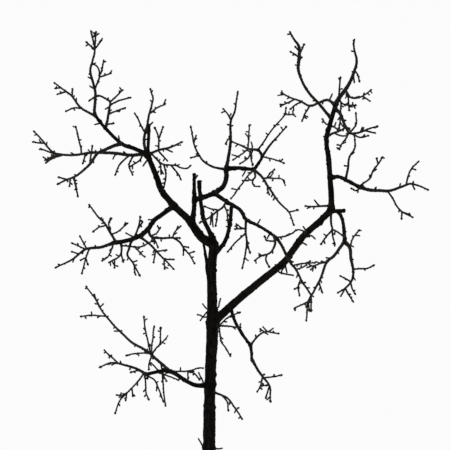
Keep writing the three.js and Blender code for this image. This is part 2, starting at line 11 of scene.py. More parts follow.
import bpy
import numpy as np
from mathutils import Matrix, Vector


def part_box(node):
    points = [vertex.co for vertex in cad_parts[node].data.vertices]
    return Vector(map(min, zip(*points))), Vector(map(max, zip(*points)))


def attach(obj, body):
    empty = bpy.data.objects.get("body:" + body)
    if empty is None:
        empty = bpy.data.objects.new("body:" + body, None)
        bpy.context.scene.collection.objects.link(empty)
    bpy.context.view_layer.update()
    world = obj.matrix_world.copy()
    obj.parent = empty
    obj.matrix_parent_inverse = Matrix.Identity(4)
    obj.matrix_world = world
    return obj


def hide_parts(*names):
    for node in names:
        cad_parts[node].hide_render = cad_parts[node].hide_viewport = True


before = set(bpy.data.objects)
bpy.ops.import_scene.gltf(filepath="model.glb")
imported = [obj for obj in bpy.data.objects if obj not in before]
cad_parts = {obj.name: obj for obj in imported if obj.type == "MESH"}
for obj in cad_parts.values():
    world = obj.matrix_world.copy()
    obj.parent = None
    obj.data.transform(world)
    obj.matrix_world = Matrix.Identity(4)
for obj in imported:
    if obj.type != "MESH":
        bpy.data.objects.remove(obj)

scene = bpy.context.scene
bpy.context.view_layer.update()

# %% [markdown]
# ## Camera
# A tall subject is best looked at from far away with a long lens: its near and far boughs then keep their
# true proportions. The eye is at a standing person's height, and the frame takes in the crown and the upper
# trunk.

# %% Camera
EYE = Vector((0.16, -40.0, 1.6))
AIM = Vector((0.16, 0.0, 4.05))
FRAME_SIDE = 4.5  # metres of the tree that the square frame takes in at the trunk
SENSOR_WIDTH = 36.0  # millimetres
FARTHEST = 500.0

camera_data = bpy.data.cameras.new("camera")
camera = bpy.data.objects.new("camera", camera_data)
scene.collection.objects.link(camera)
camera.location = EYE
camera.rotation_euler = (AIM - EYE).to_track_quat("-Z", "Y").to_euler()
camera_data.sensor_width = SENSOR_WIDTH
camera_data.lens = SENSOR_WIDTH * (AIM - EYE).length / FRAME_SIDE
camera_data.clip_end = FARTHEST
scene.camera = camera
print("lens", round(camera_data.lens), "mm")

# %% [markdown]
# ## Shader sums as plain Python
# A material is a graph of nodes. Wiring dozens of Math nodes by hand hides the formula, so one small class
# wraps a node's output and overloads the arithmetic. Then `1 - mask * 0.5` adds the nodes that it names.

# %% The wire class
FACTOR, FIRST_COLOUR, SECOND_COLOUR, MIXED_COLOUR = 0, 6, 7, 2  # the Mix node's sockets for blending colours


class Wire:
    """One output in a material's node tree. Arithmetic on it adds a Math node and gives its output."""

    def __init__(self, tree, socket):
        self.tree, self.socket = tree, socket

    def node(self, kind, settings, sockets, out=0):
        """Adds a node, sets its settings and then its sockets, from values or wires, and gives one output."""
        made = self.tree.nodes.new("ShaderNode" + kind)
        for name, value in settings.items():
            setattr(made, name, value)
        for name, value in sockets.items():
            if isinstance(value, Wire):
                self.tree.links.new(value.socket, made.inputs[name])
            else:
                made.inputs[name].default_value = value
        return Wire(self.tree, made.outputs[out])

    def maths(self, operation, *values):
        return self.node("Math", {"operation": operation}, dict(enumerate(values)))

    def __add__(self, other):
        return self.maths("ADD", self, other)

    def __radd__(self, other):
        return self.maths("ADD", other, self)

    def __sub__(self, other):
        return self.maths("SUBTRACT", self, other)

    def __rsub__(self, other):
        return self.maths("SUBTRACT", other, self)

    def __mul__(self, other):
        return self.maths("MULTIPLY", self, other)

    def __rmul__(self, other):
        return self.maths("MULTIPLY", other, self)

    def between(self, low, high):
        """0 at low and below, 1 at high and above, and a smooth ramp between them."""
        settings = {"interpolation_type": "SMOOTHSTEP", "clamp": True}
        return self.node("MapRange", settings, {"Value": self, "From Min": low, "From Max": high})

    def mix(self, one, other):
        """Blends two colours: one where this mask is 0 and the other where it is 1."""
        first, second = (end if isinstance(end, Wire) else (*end, 1) for end in (one, other))
        inputs = {FACTOR: self, FIRST_COLOUR: first, SECOND_COLOUR: second}
        return self.node("Mix", {"data_type": "RGBA"}, inputs, out=MIXED_COLOUR)

    def stretched(self, scale):
        """A place whose three coordinates are multiplied by three numbers."""
        return self.node("VectorMath", {"operation": "MULTIPLY"}, {0: self, 1: scale})


def new_material(name, shade):
    """A material with one Principled BSDF. shade(wire) gives the values or wires of that shader's sockets."""
    material = bpy.data.materials.new(name)
    material.use_nodes = True
    tree = material.node_tree
    shader = tree.nodes["Principled BSDF"]
    for socket, value in shade(Wire(tree, None)).items():
        if isinstance(value, Wire):
            tree.links.new(value.socket, shader.inputs[socket])
        else:
            shader.inputs[socket].default_value = value
    return material


print("wires ready")

# %% [markdown]
# ## Studio
# The floor and the surroundings are plain and pale. The light comes from all round and from above, so a
# dark trunk stands out against them as it does against a bright winter sky, with only a soft gleam along
# its bark.

# %% Floor, sky and lamp
FLOOR_SIDE = 400.0
FLOOR_FINISH = {"Base Color": (0.86, 0.86, 0.85, 1), "Roughness": 0.9}
SKY, GLOW = 0.97, 0.42  # the brightness that the camera sees, and the brightness that lights the tree
LAMP_STRENGTH, LAMP_SPREAD = 1.0, math.radians(50)
LAMP_TILT = (math.radians(-28), math.radians(-18), 0)

half = FLOOR_SIDE / 2
floor_mesh = bpy.data.meshes.new("floor")
corners = [(-half, -half, 0), (half, -half, 0), (half, half, 0), (-half, half, 0)]
floor_mesh.from_pydata(corners, [], [(0, 1, 2, 3)])
floor = bpy.data.objects.new("floor", floor_mesh)
scene.collection.objects.link(floor)
floor_mesh.materials.append(new_material("pale_floor", lambda wire: FLOOR_FINISH))

world = bpy.data.worlds.new("studio")
world.use_nodes = True
scene.world = world
sky = Wire(world.node_tree, None)
seen = sky.node("LightPath", {}, {}, out="Is Camera Ray")
strength = seen * (SKY - GLOW) + GLOW
backdrop = world.node_tree.nodes["Background"]
world.node_tree.links.new(strength.socket, backdrop.inputs["Strength"])
backdrop.inputs["Color"].default_value = (1, 1, 1, 1)

lamp_data = bpy.data.lights.new("overhead", "SUN")
lamp_data.energy = LAMP_STRENGTH
lamp_data.angle = LAMP_SPREAD
lamp = bpy.data.objects.new("overhead", lamp_data)
lamp.rotation_euler = LAMP_TILT
scene.collection.objects.link(lamp)
scene.view_settings.view_transform = "Standard"
print("studio ready")

# %% [markdown]
# ## What the tree is made from
# Trees are drawn best as routes: a limb starts at a point on the limb that carries it, and goes on in steps
# across and up. The two tables hold those steps in centimetres, with each limb's thickness in millimetres
# and the angle by which it swings to the back. `knob` is the share by which a cut end is thicker, and
# `swell` is a bulge: after how many steps, its share and its length in millimetres. The rules in the next
# cells do the rest.

# %% The limbs' steps
MM, CM = 0.001, 0.01
LIFT, DEEPEN = 0.06, 1.2  # how much a limb rises with its depth, and how much its swing is drawn out
FLARE = dict(reach=62 * MM, height=190 * MM, ribs=5, rib_depth=0.3)
COLLAR = dict(swell=0.32, length=0.8, least=4 * MM)
KNOB_LENGTH = 0.7  # of the limb's end thickness
SHOOT_TAPER, SPUR_TAPER = (15, 12.5), (13, 11.5)  # thickness at the foot and at the tip, in millimetres
SPURS = dict(every=430, shortest=26, longest=58, lean=(35, 70), from_tip=12)
GOLDEN_ANGLE = 137.5
SHOOT_SWING = (22, 48)
TOUCH = 7  # millimetres of air that a spur keeps from another limb

BOUGHS = {
    "trunk": dict(wide=[156, 84], back=0, swell=[8.9, 0.16, 240], steps=[[0, 6], [0, 12], [0, 22], [0,
        30], [0, 50], [0, 60], [0.7, 50], [0.9, 35], [1.7, 35], [-0.4, 50], [0.4, 18], [1.7, 22]]),
    "left_leader": dict(on="trunk", at=11.9, wide=[80, 52], back=15, knob=0.75, swell=[2.5, 0.2, 140],
        steps=[[-6.8, 1.4], [-6, 4], [-5, 6.8], [-7, 9.7], [-16.1, 15.8], [-11.5, 14], [-6.5, 17], [-9,
        21]]),
    "prop": dict(on="trunk", at=9.9, wide=[40, 23], back=4, steps=[[-4.4, 11], [-0.9, 11], [-1.8, 11],
        [-2.3, 12]]),
    "upper_left": dict(on="left_leader", at=7.95, wide=[44, 30], back=-12, steps=[[-13, 6], [-13, 5],
        [-16, 15.5], [-10, 12.5]]),
    "knot_stub": dict(on="left_leader", at=7.9, wide=[32, 32], back=-14, knob=0.35, steps=[[1, 16],
        [0.5, 16]]),
    "lower_left": dict(on="left_leader", at=4.93, wide=[50, 42], back=-38, knob=0.3, steps=[[-12, -9],
        [-8, -6], [-6, -9], [-8, -6.5], [-12, -4.5], [-12, -2]]),
    "left_stub": dict(on="left_leader", at=3.75, wide=[52, 30], back=-6, knob=0.5, steps=[[2.2, 11.6],
        [0.5, 12], [0, 10], [0, 17]]),
    "right_stub": dict(on="trunk", at=11.9, wide=[48, 34], back=-14, knob=0.25, swell=[5, 0.35, 70],
        steps=[[-5.1, 12], [-5, 11], [-2.4, 14], [-1.5, 13], [-0.5, 12]]),
    "centre_bough": dict(on="left_stub", at=2, wide=[50, 50], back=38, steps=[[9.3, 2.6], [10.5, 4.3],
        [8.8, 6.4], [3.6, 9], [-0.3, 9.5]]),
    "centre_arm": dict(on="centre_bough", at=5, wide=[44, 26], back=22, steps=[[12.5, 1], [15, -1],
        [5.5, 6], [3.5, 6.5], [-3, 7]]),
    "centre_outer": dict(on="centre_bough", at=2, wide=[42, 28], back=-42, steps=[[12.4, -8.6], [13.7,
        -8.6], [5.8, -9.3], [12, -6.4], [9, -5.5], [9, -6.5]]),
    "right_bough": dict(on="trunk", at=9.16, wide=[80, 62], back=-14, steps=[[12.7, 11], [12, 11], [24,
        20], [22, 18], [7, 9], [7, 10], [7, 9], [10, 9], [16, 15]]),
    "right_leader": dict(on="right_bough", at=9, wide=[58, 44], back=12, steps=[[0, 16], [-1, 17], [-1,
        17], [-2, 14], [0, 10], [3, 10], [3, 11], [3, 10]]),
    "right_outer": dict(on="right_leader", at=2, wide=[38, 34], back=-35, knob=0.3, steps=[[9, 0], [8,
        -4], [11, -6]]),
    "elbow_stub": dict(on="right_bough", at=8.95, wide=[34, 32], back=-10, knob=0.3, steps=[[8, 0], [7,
        1]]),
    "right_droop": dict(on="elbow_stub", at=1, wide=[36, 33], back=35, steps=[[4, -9], [2, -11], [1,
        -11]]),
    "low_right": dict(on="right_bough", at=1.5, wide=[33, 29], back=-40, steps=[[4, -13], [6.5, -12],
        [9, -13], [1.5, -13]]),
    "low_left": dict(on="trunk", at=7.4, wide=[45, 34], back=-25, knob=0.3, steps=[[-13.4, 0], [-11, 5],
        [-10, 7], [-9, 3], [-10, -1], [-9, -2]]),
    "riser": dict(on="trunk", at=11.3, wide=[44, 37], back=30, knob=0.25, steps=[[7, 7], [6, 9], [4,
        15], [2, 19]]),
}

SPRAYS = {
    "spray_top_left": dict(on="upper_left", at=4, wide=[24, 13], back=-18, steps=[[-1, 5], [1.5, 14],
        [-0.5, 7], [-4.5, 17], [2.5, 11], [2, 12], [-3, 17]], shoots=[[3, 4, 13, -1, 9, -4, 4, [1.1,
        2.5, 5, 1.5, 10], [1, 6, 1, 6, 1.5]], [6, 2, 16], [6, -8, 7], [6, 7, 8]]),
    "spray_upper_inner": dict(on="upper_left", at=3, wide=[22, 13], back=30, steps=[[2, 9], [2, 12], [0,
        6], [-5.5, 4], [-7.5, 3], [-8, -5]], shoots=[[3, 6, 5.5, 6, 7], [2.35, 10, 5, 10, 2.5], [1.4, 8,
        4.5, 8, 3], [0.4, 7, 1]]),
    "spray_upper_far": dict(on="upper_left", at=3.9, wide=[20, 12.5], back=14, steps=[[-14.8, 8.7],
        [-9.8, 11.9], [-6.2, 5.2], [-11.3, 8.7]], shoots=[[1, -8, 0.5, -8, -3], [3, -8, -3], [2.05, 0.3,
        7.5], [3.5, -5, -1]]),
    "spray_hanging_left": dict(on="upper_left", at=2, wide=[28, 13], back=-35, steps=[[-13, -5], [-10,
        -5.5], [-7, -10], [-12, -12], [-10.5, -4.5], [-8.5, -5]], shoots=[[4.3, 1, -9, 2, -10], [4.65,
        -0.5, -8], [5, -8, 2], [4.4, 4, -12]]),
    "spray_far_left": dict(on="left_leader", at=8, wide=[28, 13], back=22, steps=[[-14, -1.5], [-20, 2],
        [-19, 1], [-18, -2], [-17, 0], [-9, 3], [-9.5, 10], [-10, 11]], shoots=[[0.3, -4, -7, -9, -5],
        [6.9, -6, 0.5, -5, 0.8], [5.2, -9, -2.5, -6, -3, [1, -5, -5]], [5.3, -8, 2, -9, 3], [3.8, -0.5,
        7, -2.5, 9, -3.5, 12.5], [1.2, -9, -9, -5, -11], [3.2, -2, -9], [0.95, -5, -10.5, 3.5, -9],
        [3.2, 0.3, 7], [3.55, -2.5, -9.5], [4.9, -10, -3, -8, -4.5]]),
    "spray_knot_up": dict(on="left_leader", at=8, wide=[24, 13], back=35, steps=[[-2.5, 8], [0, 10],
        [2.5, 12], [2, 11], [2.5, 12], [1, 5], [-3, 9]], shoots=[[4.05, 7.5, 6, 7, 4], [2.3, -4.5, 8,
        -3.5, 7.5]]),
    "spray_knot_right": dict(on="left_leader", at=7.95, wide=[22, 12.5], back=-42, steps=[[12, 4], [12,
        3], [11.5, 4.5]], shoots=[[0.3, 6, -6, 7, -5, 12, -1.5, 5, -2.2, 6.5, -0.5, 3, 2.5, [2, 1.5,
        -5.5, 1, -6, -1, -6.5, -1.5, -5], [1, 4, -6, 1, -9], [2.6, 7, -9, 2.5, -5]], [1, 0, 11, -3, 11,
        [1, 4.5, 12]], [0.95, 8.5, -10]]),
    "spray_lower_far": dict(on="lower_left", at=6, wide=[28, 13], back=-20, steps=[[-12, -4], [-13,
        -1.5], [-6, -3], [-11, -8.3], [-14.3, -7.5]], shoots=[[1.9, -3.5, -8, -2, -6, -2.5, -10.5, [1.3,
        2, -6], [1.2, -4.5, -2.5]], [0.1, -1.5, -7, -3, -6, -5, -4], [2.3, -3.5, 6, -3, 6], [3.35, -6.5,
        2], [2.5, -6, 2.5, -7, 3.5]]),
    "spray_lower_rise": dict(on="lower_left", at=5.9, wide=[22, 12.5], back=-45, steps=[[-5, 10], [-5.5,
        9], [-5, 5.5], [-9, 12]], shoots=[[1.75, -7, -2, -5, -4], [1, -1, 9, 2, 5], [0.8, 7, 3, 8,
        7.5]]),
    "spray_lower_mid": dict(on="lower_left", at=4.5, wide=[19, 12.5], back=40, steps=[[4, 9], [1.5, 6],
        [0.5, 6.5]], shoots=[[1.2, 4, 6]]),
    "spray_lower_reach": dict(on="lower_left", at=2.9, wide=[23, 12.5], back=30, steps=[[3, -8], [10,
        -1.5], [11, 0.5], [7, -4.7], [4, -6], [6, -6.5], [4.3, -8.3]], shoots=[[3, 2.5, 6.5, 5, 5],
        [0.9, 6, 3, 3, 5], [1.1, 3.5, -5, 2, -5], [4.9, 0, -6.5], [4.7, 5.5, -1], [5.8, 5, 1.5], [3.05,
        6.5, -0.5]]),
    "spray_lower_east": dict(on="lower_left", at=4, wide=[22, 12.5], back=-28, steps=[[9, -7], [8,
        -7.5], [8.5, -9], [8.5, -8.5]], shoots=[[2.05, 9, 1], [1.9, -0.5, -7, -1, -5], [2.9, 9, -0.5],
        [2.95, 0.5, -9]]),
    "spray_lower_drop": dict(on="lower_left", at=4.6, wide=[21, 13], back=16, steps=[[-3, -9], [-2, -7],
        [6, -8], [6, -12]], shoots=[[3.1, 0.5, -8]]),
    "spray_lower_west": dict(on="lower_left", at=5.5, wide=[20, 12.5], back=38, steps=[[0.5, -8], [-3,
        -7], [-9.5, -5.5]], shoots=[[0.4, 6, -1, 7, -1, 8, 1, 7, 4, 6, 4.5, [2, 4, -5, 5, -5]], [1.3, 1,
        -5, 1, -4], [2.5, 0, -8]]),
    "spray_centre_top": dict(on="centre_bough", at=5, wide=[30, 13], back=12, steps=[[3, 14], [1.5, 17],
        [0.5, 18], [4, 11], [3, 18.5]], shoots=[[3.05, -3, 6, -5, 6], [2.1, -3, -3, -2, -4]]),
    "spray_centre_left": dict(on="centre_bough", at=4.9, wide=[21, 12.5], back=-24, steps=[[-13, 3],
        [-9, 4.5], [-5, 6.5], [-5.5, 12.5], [-3, 16]], shoots=[[3, -8, -2], [4, 2, 7]]),
    "spray_arm_crown": dict(on="centre_arm", at=5, wide=[24, 12.5], back=42, steps=[[-11, 2], [-8, 3.5],
        [-8, 4]], shoots=[[1, 1, 13, 0.5, 12], [0.1, 5, 7, 7, 10, 8, 10, 8, 9, [4, 9, 0.5], [4, 0.5,
        6]], [1, -7, -6, -8, -5], [0.55, -2, -8, 2, -8], [0.7, -3, -9, -8, -5]]),
    "spray_arm_long": dict(on="centre_arm", at=4, wide=[22, 12.5], back=-14, steps=[[8.5, 12], [7.5, 9],
        [8.5, 9]], shoots=[[0.05, 10, -2.5, 12, -4]]),
    "spray_arm_fall": dict(on="centre_arm", at=2, wide=[24, 12.5], back=35, steps=[[9.5, -8.5], [6, -9],
        [8, -12], [7.5, -8], [6.5, -7], [5, -12]], shoots=[[1.1, 9, 0.5, 9, -0.5, 4, -1.5, [0.4, 4, 5,
        4, 4]], [4.9, 9, 2], [1.9, 0, -4, 2, -5]]),
    "spray_arm_under": dict(on="centre_arm", at=2.05, wide=[19, 12.5], back=-48, steps=[[1.5, -8],
        [-2.5, -4], [1.5, -5.5], [5, -1]], shoots=[[1.9, -7, -0.5], [0.1, -7, -8, -6, -8, -5, -7, -5,
        -7]]),
    "spray_outer_tip": dict(on="centre_outer", at=6, wide=[25, 12.5], back=-25, steps=[[6, -10], [7,
        -14], [6, -8], [6, -11.3], [6.8, -11], [1.5, -6.5], [-0.3, -10]], shoots=[[2.4, 10, 2, 12, 1],
        [0, 7.5, 1.5, 7.2, 2.7, 6, 3.5, 7, -1.5], [3.75, -2.5, -8, 1, -8, [0.5, 5, 0.5], [1, -3.5,
        -1.5]], [2.95, 5, 2, 4.5, 3]]),
    "spray_outer_hang": dict(on="centre_outer", at=5.7, wide=[21, 12.5], back=-52, steps=[[1, -8], [-3,
        -7], [-5, -3], [-6, -2], [-6, -4]], shoots=[[3, -1, -6, 3, -6], [0.7, -8, 1, -2, 4]]),
    "spray_outer_drop": dict(on="centre_outer", at=3, wide=[20, 12.5], back=-15, steps=[[-0.5, -12],
        [1.5, -11], [-2, -12], [-2.5, -13]], shoots=[[1.15, -8.5, -8, -9, -10.5], [0.8, -10, 0], [0.8,
        -4, 1, -4.5, 3.5], [2, 3, -10]]),
    "spray_outer_inner": dict(on="centre_outer", at=1, wide=[19, 12.5], back=-44, steps=[[-4, -6], [-5,
        -4], [-8, -6], [-9, -5.5]], shoots=[[1.7, -8, 1, -6, 2.5], [0.6, 3, -8, 1, -9], [2, -0.5, -8,
        -1, -6]]),
    "spray_right_top": dict(on="right_leader", at=8, wide=[36, 13], back=12, steps=[[3, 6], [7, 10],
        [5.5, 9], [4, 10], [2, 10], [-2, 11], [-0.5, 9]], shoots=[[2, 5, -7, 5, -1, 8, 2, 9, 7, [3, 8,
        -4]], [1, 1, 10, 0.5, 11], [4, 3, -4, 2, -6], [1.1, 3, -5, 5, -2, 8, 0, [0.7, 0, -12, -1, -13]],
        [2, 3, -8, 1.5, -12], [3.6, 1, -7]]),
    "spray_horn": dict(on="right_leader", at=6.7, wide=[24.5, 14], back=-25, swell=[5, 0.6, 180],
        steps=[[-11, 12], [-11, 12], [-7.5, 11], [-4, 12], [0.5, 13], [-0.5, 10], [-4, 6], [-4.5, 7]],
        shoots=[[4.9, -4, 3.5, -4, 2.5], [5.1, 2, 5, 2.5, 5], [5.5, -3.5, 4]]),
    "spray_right_west": dict(on="right_leader", at=8, wide=[24, 12.5], back=40, steps=[[-7, 5.5], [-9,
        -2.5], [-9, -2.5], [-10, 5], [-9, 4], [-9, 4.5]], shoots=[[3, -4, -7, -3, -7], [3.8, -6, -3, -5,
        -4], [4.5, -7, -3, -7, -3.5]]),
    "spray_right_inner": dict(on="right_leader", at=7.7, wide=[28, 12.5], back=-36, steps=[[6, -7], [4,
        -11], [4, -7.5], [9, 0.5], [9, 3], [8.5, 2.5]], shoots=[[3, 4, 5, 3, 5, 0, 10], [2.95, -4, -6,
        -4, -6, -3, -5], [4.6, 10, -2], [3.1, 9, -4, 8, 1]]),
    "spray_leader_mid": dict(on="right_leader", at=4.9, wide=[21, 12.5], back=38, steps=[[7, 4], [7, 3],
        [6, 3], [3, -1]], shoots=[[2, -6, 4, -7, 3.5, -3.5, 5]]),
    "spray_outer_east": dict(on="right_outer", at=3, wide=[29, 13], back=-15, steps=[[9, -3], [11,
        -0.5], [10, -0.5], [10, 3.5], [9, 3.5], [8, -2], [9, -4]], shoots=[[4.6, 2, 8, 3, 6, 3.5, 4.5,
        4.5, 4.5], [0, 4, 3.5, 6, 5, 3, 7, 4.5, 6.5, 3.5, 6.5, [4, -1.5, 5]], [2.75, 4.5, -6.5, 4.5, -8,
        5.5, -5.5, 10, -5.5, [3, 0, -7]], [0.2, -5, -3, -4, 2]]),
    "spray_outer_mid": dict(on="right_outer", at=1.8, wide=[20, 12.5], back=34, steps=[[2, 10], [2, 12],
        [5.5, 9.5], [0.5, 9]], shoots=[]),
    "spray_droop_outer": dict(on="right_droop", at=3, wide=[29, 13], back=20, steps=[[5, -6], [1.5,
        -11], [2, -12], [-1.5, -10], [-6, -7], [-7, -4]], shoots=[[1, 2, 7, 4, 6, 4, 5], [2.8, 7, 0.5,
        7, 0, 6, 3], [4.1, -5, 3, -5, 3], [5, 3, -6, 4, -7], [4.2, 2, -6, 3, -5]]),
    "spray_droop_inner": dict(on="right_droop", at=2.75, wide=[26, 12.5], back=44, steps=[[-3, -6], [-6,
        -9], [-7.5, -7], [-4, -10], [-3.5, -10], [-4.5, -9], [-5, -9], [-2, -8.5], [-0.5, -14]],
        shoots=[[2.95, -10, -4, -9, -3, [1.1, -5, -4.5]], [7.5, 1, -8], [7.4, -5, -2.5, -8, -4.5], [5.1,
        3, -10]]),
    "spray_elbow_hang": dict(on="right_bough", at=8.95, wide=[19, 12.5], back=-40, steps=[[0.5, -12],
        [0.5, -6], [-5, -6], [-6, -8.5]], shoots=[[2, 1, -7, 2, -7], [2, 7, -4, 4, -3]]),
    "spray_elbow_left": dict(on="right_leader", at=0.3, wide=[19, 12.5], back=-48, steps=[[-12, -1],
        [-14, 0]], shoots=[]),
    "spray_low_right": dict(on="low_right", at=4, wide=[25, 12.5], back=-22, steps=[[5.5, -9], [6,
        -8.5], [6, -9], [0.5, -13]], shoots=[[2, 8, 1, 9, 1.5], [1.85, -2, -7.5, -3.5, -6], [2.9, -3.5,
        -11], [2.8, -7, 0]]),
    "spray_low_curl": dict(on="low_right", at=3.2, wide=[19, 12.5], back=42, steps=[[1.5, 6], [6, 6.5],
        [8, 3.5], [12, -2]], shoots=[[2.8, -4, 3]]),
    "spray_low_left": dict(on="low_left", at=6, wide=[25, 12.5], back=-22, steps=[[-9, 5], [-9, 3.5],
        [-10, 3], [-8, 0], [-9, -3.5]], shoots=[[0.3, -6, -9, -12, -12, -6, -7, -4.5, -12, [1.5, 0.5,
        -8], [2.2, -7, 1], [1.9, -1, -7]], [2.95, -6, 6, -6.5, 7.5], [0.3, 1.5, -11, 0.5, -10, 2, -6,
        [0.2, 9.5, -4.5, 4, -9, 5, -13]], [0.8, -8, -1.5], [0.05, 9, 1.5, 10, -3, 12, -5.5]]),
    "spray_low_rise": dict(on="low_left", at=3.5, wide=[26, 12.5], back=34, steps=[[-11, 9], [-9, 8],
        [-11, 6.5], [-11, 6.5], [-11, 10], [-12, 12], [-7, 9.5], [-7, 11], [-8, 10.5]], shoots=[[6.15,
        -13, 0.8, -13, -1.5], [2, -3, 13, -2, 9, -1.5, 15], [2, 1, 12, 1, 14], [1.9, 4, 6, 4, 5, 0.5, 8,
        0.3, 8, [1.4, 8, 7.5]], [2.05, -12, 0, -13, -3], [0.9, 1.5, -9, 1, -10, 0.5, -11, 2, -11, [1.2,
        4, -7]], [7.1, -3.5, 7, -2.5, 5], [1.9, -3, -9, 0, -5], [0.1, 9, -1, 8, 0, 11, 2.5, 4.5, -0.3,
        [2.2, 6, -4, 4.5, -5.5], [2.1, 0.3, -7]]]),
    "spray_trunk_low": dict(on="trunk", at=7.23, wide=[19, 12.5], back=-40, steps=[[10.6, -3], [8,
        -4.5], [8, -10], [5, -8]], shoots=[[1.1, 6, -7, 1, -8]]),
    "spray_trunk_right": dict(on="trunk", at=9.11, wide=[18, 12.5], back=-50, steps=[[8.7, -0.5], [10,
        -0.5], [9, -0.5]], shoots=[[0.8, 9, 8, 11, 5], [0.8, 1.5, -13, 4.5, -7.5, 5, -7.5]]),
}
print(len(BOUGHS), "boughs,", len(SPRAYS), "sprays")

# %% [markdown]
# ## Seeded draws and smooth routes
# Growth looks natural when its lengths and angles vary, but the tree has to come out the same every time. A
# linear congruential series gives numbers that look random and depend only on a seed. A Catmull-Rom curve
# then turns a limb's steps into one smooth line that passes through all of them.

# %% Draws and routes
FACTOR_STEP, ADDED_STEP, SEED_SPREAD, WHOLE_WORD = 1664525, 1013904223, 2654435761, 2**32


def seeded_draws(seed):
    """draw(low, high): state = (1664525 state + 1013904223) mod 2^32, scaled from low to high."""
    state = (seed * SEED_SPREAD) % WHOLE_WORD

    def draw(low, high):
        nonlocal state
        state = (state * FACTOR_STEP + ADDED_STEP) % WHOLE_WORD
        return low + (high - low) * state / WHOLE_WORD

    return draw


def route_from(foot, steps, back):
    """Points of a route: each step goes across and up, and back by its length times tan(back)."""
    steps = np.asarray(steps, float) * CM
    far = DEEPEN * np.hypot(steps[:, 0], steps[:, 1]) * math.tan(math.radians(back))
    moves = np.column_stack([steps[:, 0], far, steps[:, 1] + far * LIFT])
    return np.vstack([foot, foot + np.cumsum(moves, axis=0)])


def smooth(points, at):
    """Catmull-Rom: half of 2b + (c - a) f + bend f^2 + twist f^3, for the neighbours a b c d and the share f
    of the way from b to c, with bend = 2a - 5b + 4c - d and twist = 3b - a - 3c + d. Also gives the unit
    direction."""
    ends = np.vstack([2 * points[0] - points[1], points, 2 * points[-1] - points[-2]])
    at = np.clip(at, 0, len(points) - 1)
    whole = np.minimum(at.astype(int), len(points) - 2)
    f = (at - whole)[:, None]
    a, b, c, d = (ends[whole + k] for k in range(4))
    bend, twist = 2 * a - 5 * b + 4 * c - d, 3 * b - a - 3 * c + d
    line = 2 * b + (c - a) * f + bend * f**2 + twist * f**3
    slope = (c - a) + 2 * bend * f + 3 * twist * f**2
    return line / 2, slope / np.linalg.norm(slope, axis=1, keepdims=True)


def point_at(points, at):
    """The place on a route's curve after a number of steps."""
    return smooth(points, np.array([float(at)]))[0][0]


def miles(points):
    """Distance along the straight steps at each point of a route."""
    return np.concatenate([[0.0], np.cumsum(np.linalg.norm(np.diff(points, axis=0), axis=1))])


def taper_at(limb, at):
    """Radius of an even taper from foot to tip, after a number of steps."""
    along = miles(limb["points"])
    share = np.interp(at, np.arange(len(along)), along / along[-1])
    return (limb["wide"][0] + (limb["wide"][1] - limb["wide"][0]) * share) * MM / 2


print("first draw", round(seeded_draws(1)(0, 1), 4))

# %% [markdown]
# ## Growing the tree
# Boughs and stems are planted in order, each on one that stands already. Shoots fork from a stem and swing
# to the back and the front in turn. Spurs stand off a twig in a rising spiral, turned by the golden angle
# as on most woody plants, and one that would touch another limb is left out.

# %% Planting and growing
limbs, twigs, spurs = {}, {}, {}
bones = dict(owner=[], start=[], end=[], radius=[])  # every straight piece of wood that a spur could touch
BONE_CHECK_GAP = 10 * MM


def add_bones(owner, points, wide):
    """Notes the straight steps of a limb or twig with its greatest radius."""
    bones["owner"] += [owner] * (len(points) - 1)
    bones["start"] += list(points[:-1])
    bones["end"] += list(points[1:])
    bones["radius"] += [max(wide) * MM / 2] * (len(points) - 1)


def touches(owner, foot, tip, radius):
    """True where a straight twig comes nearer to another limb's bone than both radii and 7 mm of air."""
    count = math.ceil(np.linalg.norm(tip - foot) / BONE_CHECK_GAP)
    places = foot + (tip - foot) * (np.arange(1, count + 1) / count)[:, None]
    near = np.array([name != owner for name in bones["owner"]])
    start, end = np.array(bones["start"])[near], np.array(bones["end"])[near]
    run = end - start
    share = np.einsum("pbk,bk->pb", places[:, None] - start, run) / np.einsum("bk,bk->b", run, run)
    nearest = start + np.clip(share, 0, 1)[..., None] * run
    room = np.linalg.norm(nearest - places[:, None], axis=-1) - np.array(bones["radius"])[near]
    return bool((room < radius + TOUCH * MM).any())


def plant(name, on=None, at=0, wide=(), back=0, steps=(), shoots=None, knob=0, swell=(0, 0, 1)):
    """Starts a limb at its place on its carrier, or at the ground."""
    foot = point_at(limbs[on]["points"], at) if on else np.zeros(3)
    limbs[name] = dict(name=name, on=on, at=at, wide=wide, back=back, knob=knob, swell=swell, shoots=shoots,
                       points=route_from(foot, steps, back))
    add_bones(name, limbs[name]["points"], wide)


def grow_shoots(limb, carrier, shoots, draw):
    """Each shoot swings by half its spray's angle and 22 to 48 degrees more, to back and front in turn."""
    grown = []
    for i, (at, *rest) in enumerate(shoots):
        moves = [n for n in rest if not isinstance(n, list)]
        back = limb["back"] / 2 + (-1 if i % 2 else 1) * draw(*SHOOT_SWING)
        points = route_from(point_at(carrier, at), list(zip(moves[::2], moves[1::2])), back)
        add_bones(limb["name"], points, SHOOT_TAPER)
        grown += [points] + grow_shoots(limb, points, [n for n in rest if isinstance(n, list)], draw)
    return grown


FIRST_GAP, NEXT_GAP, TURN_PLAY = (0.3, 0.8), (0.6, 1.2), (-20, 20)


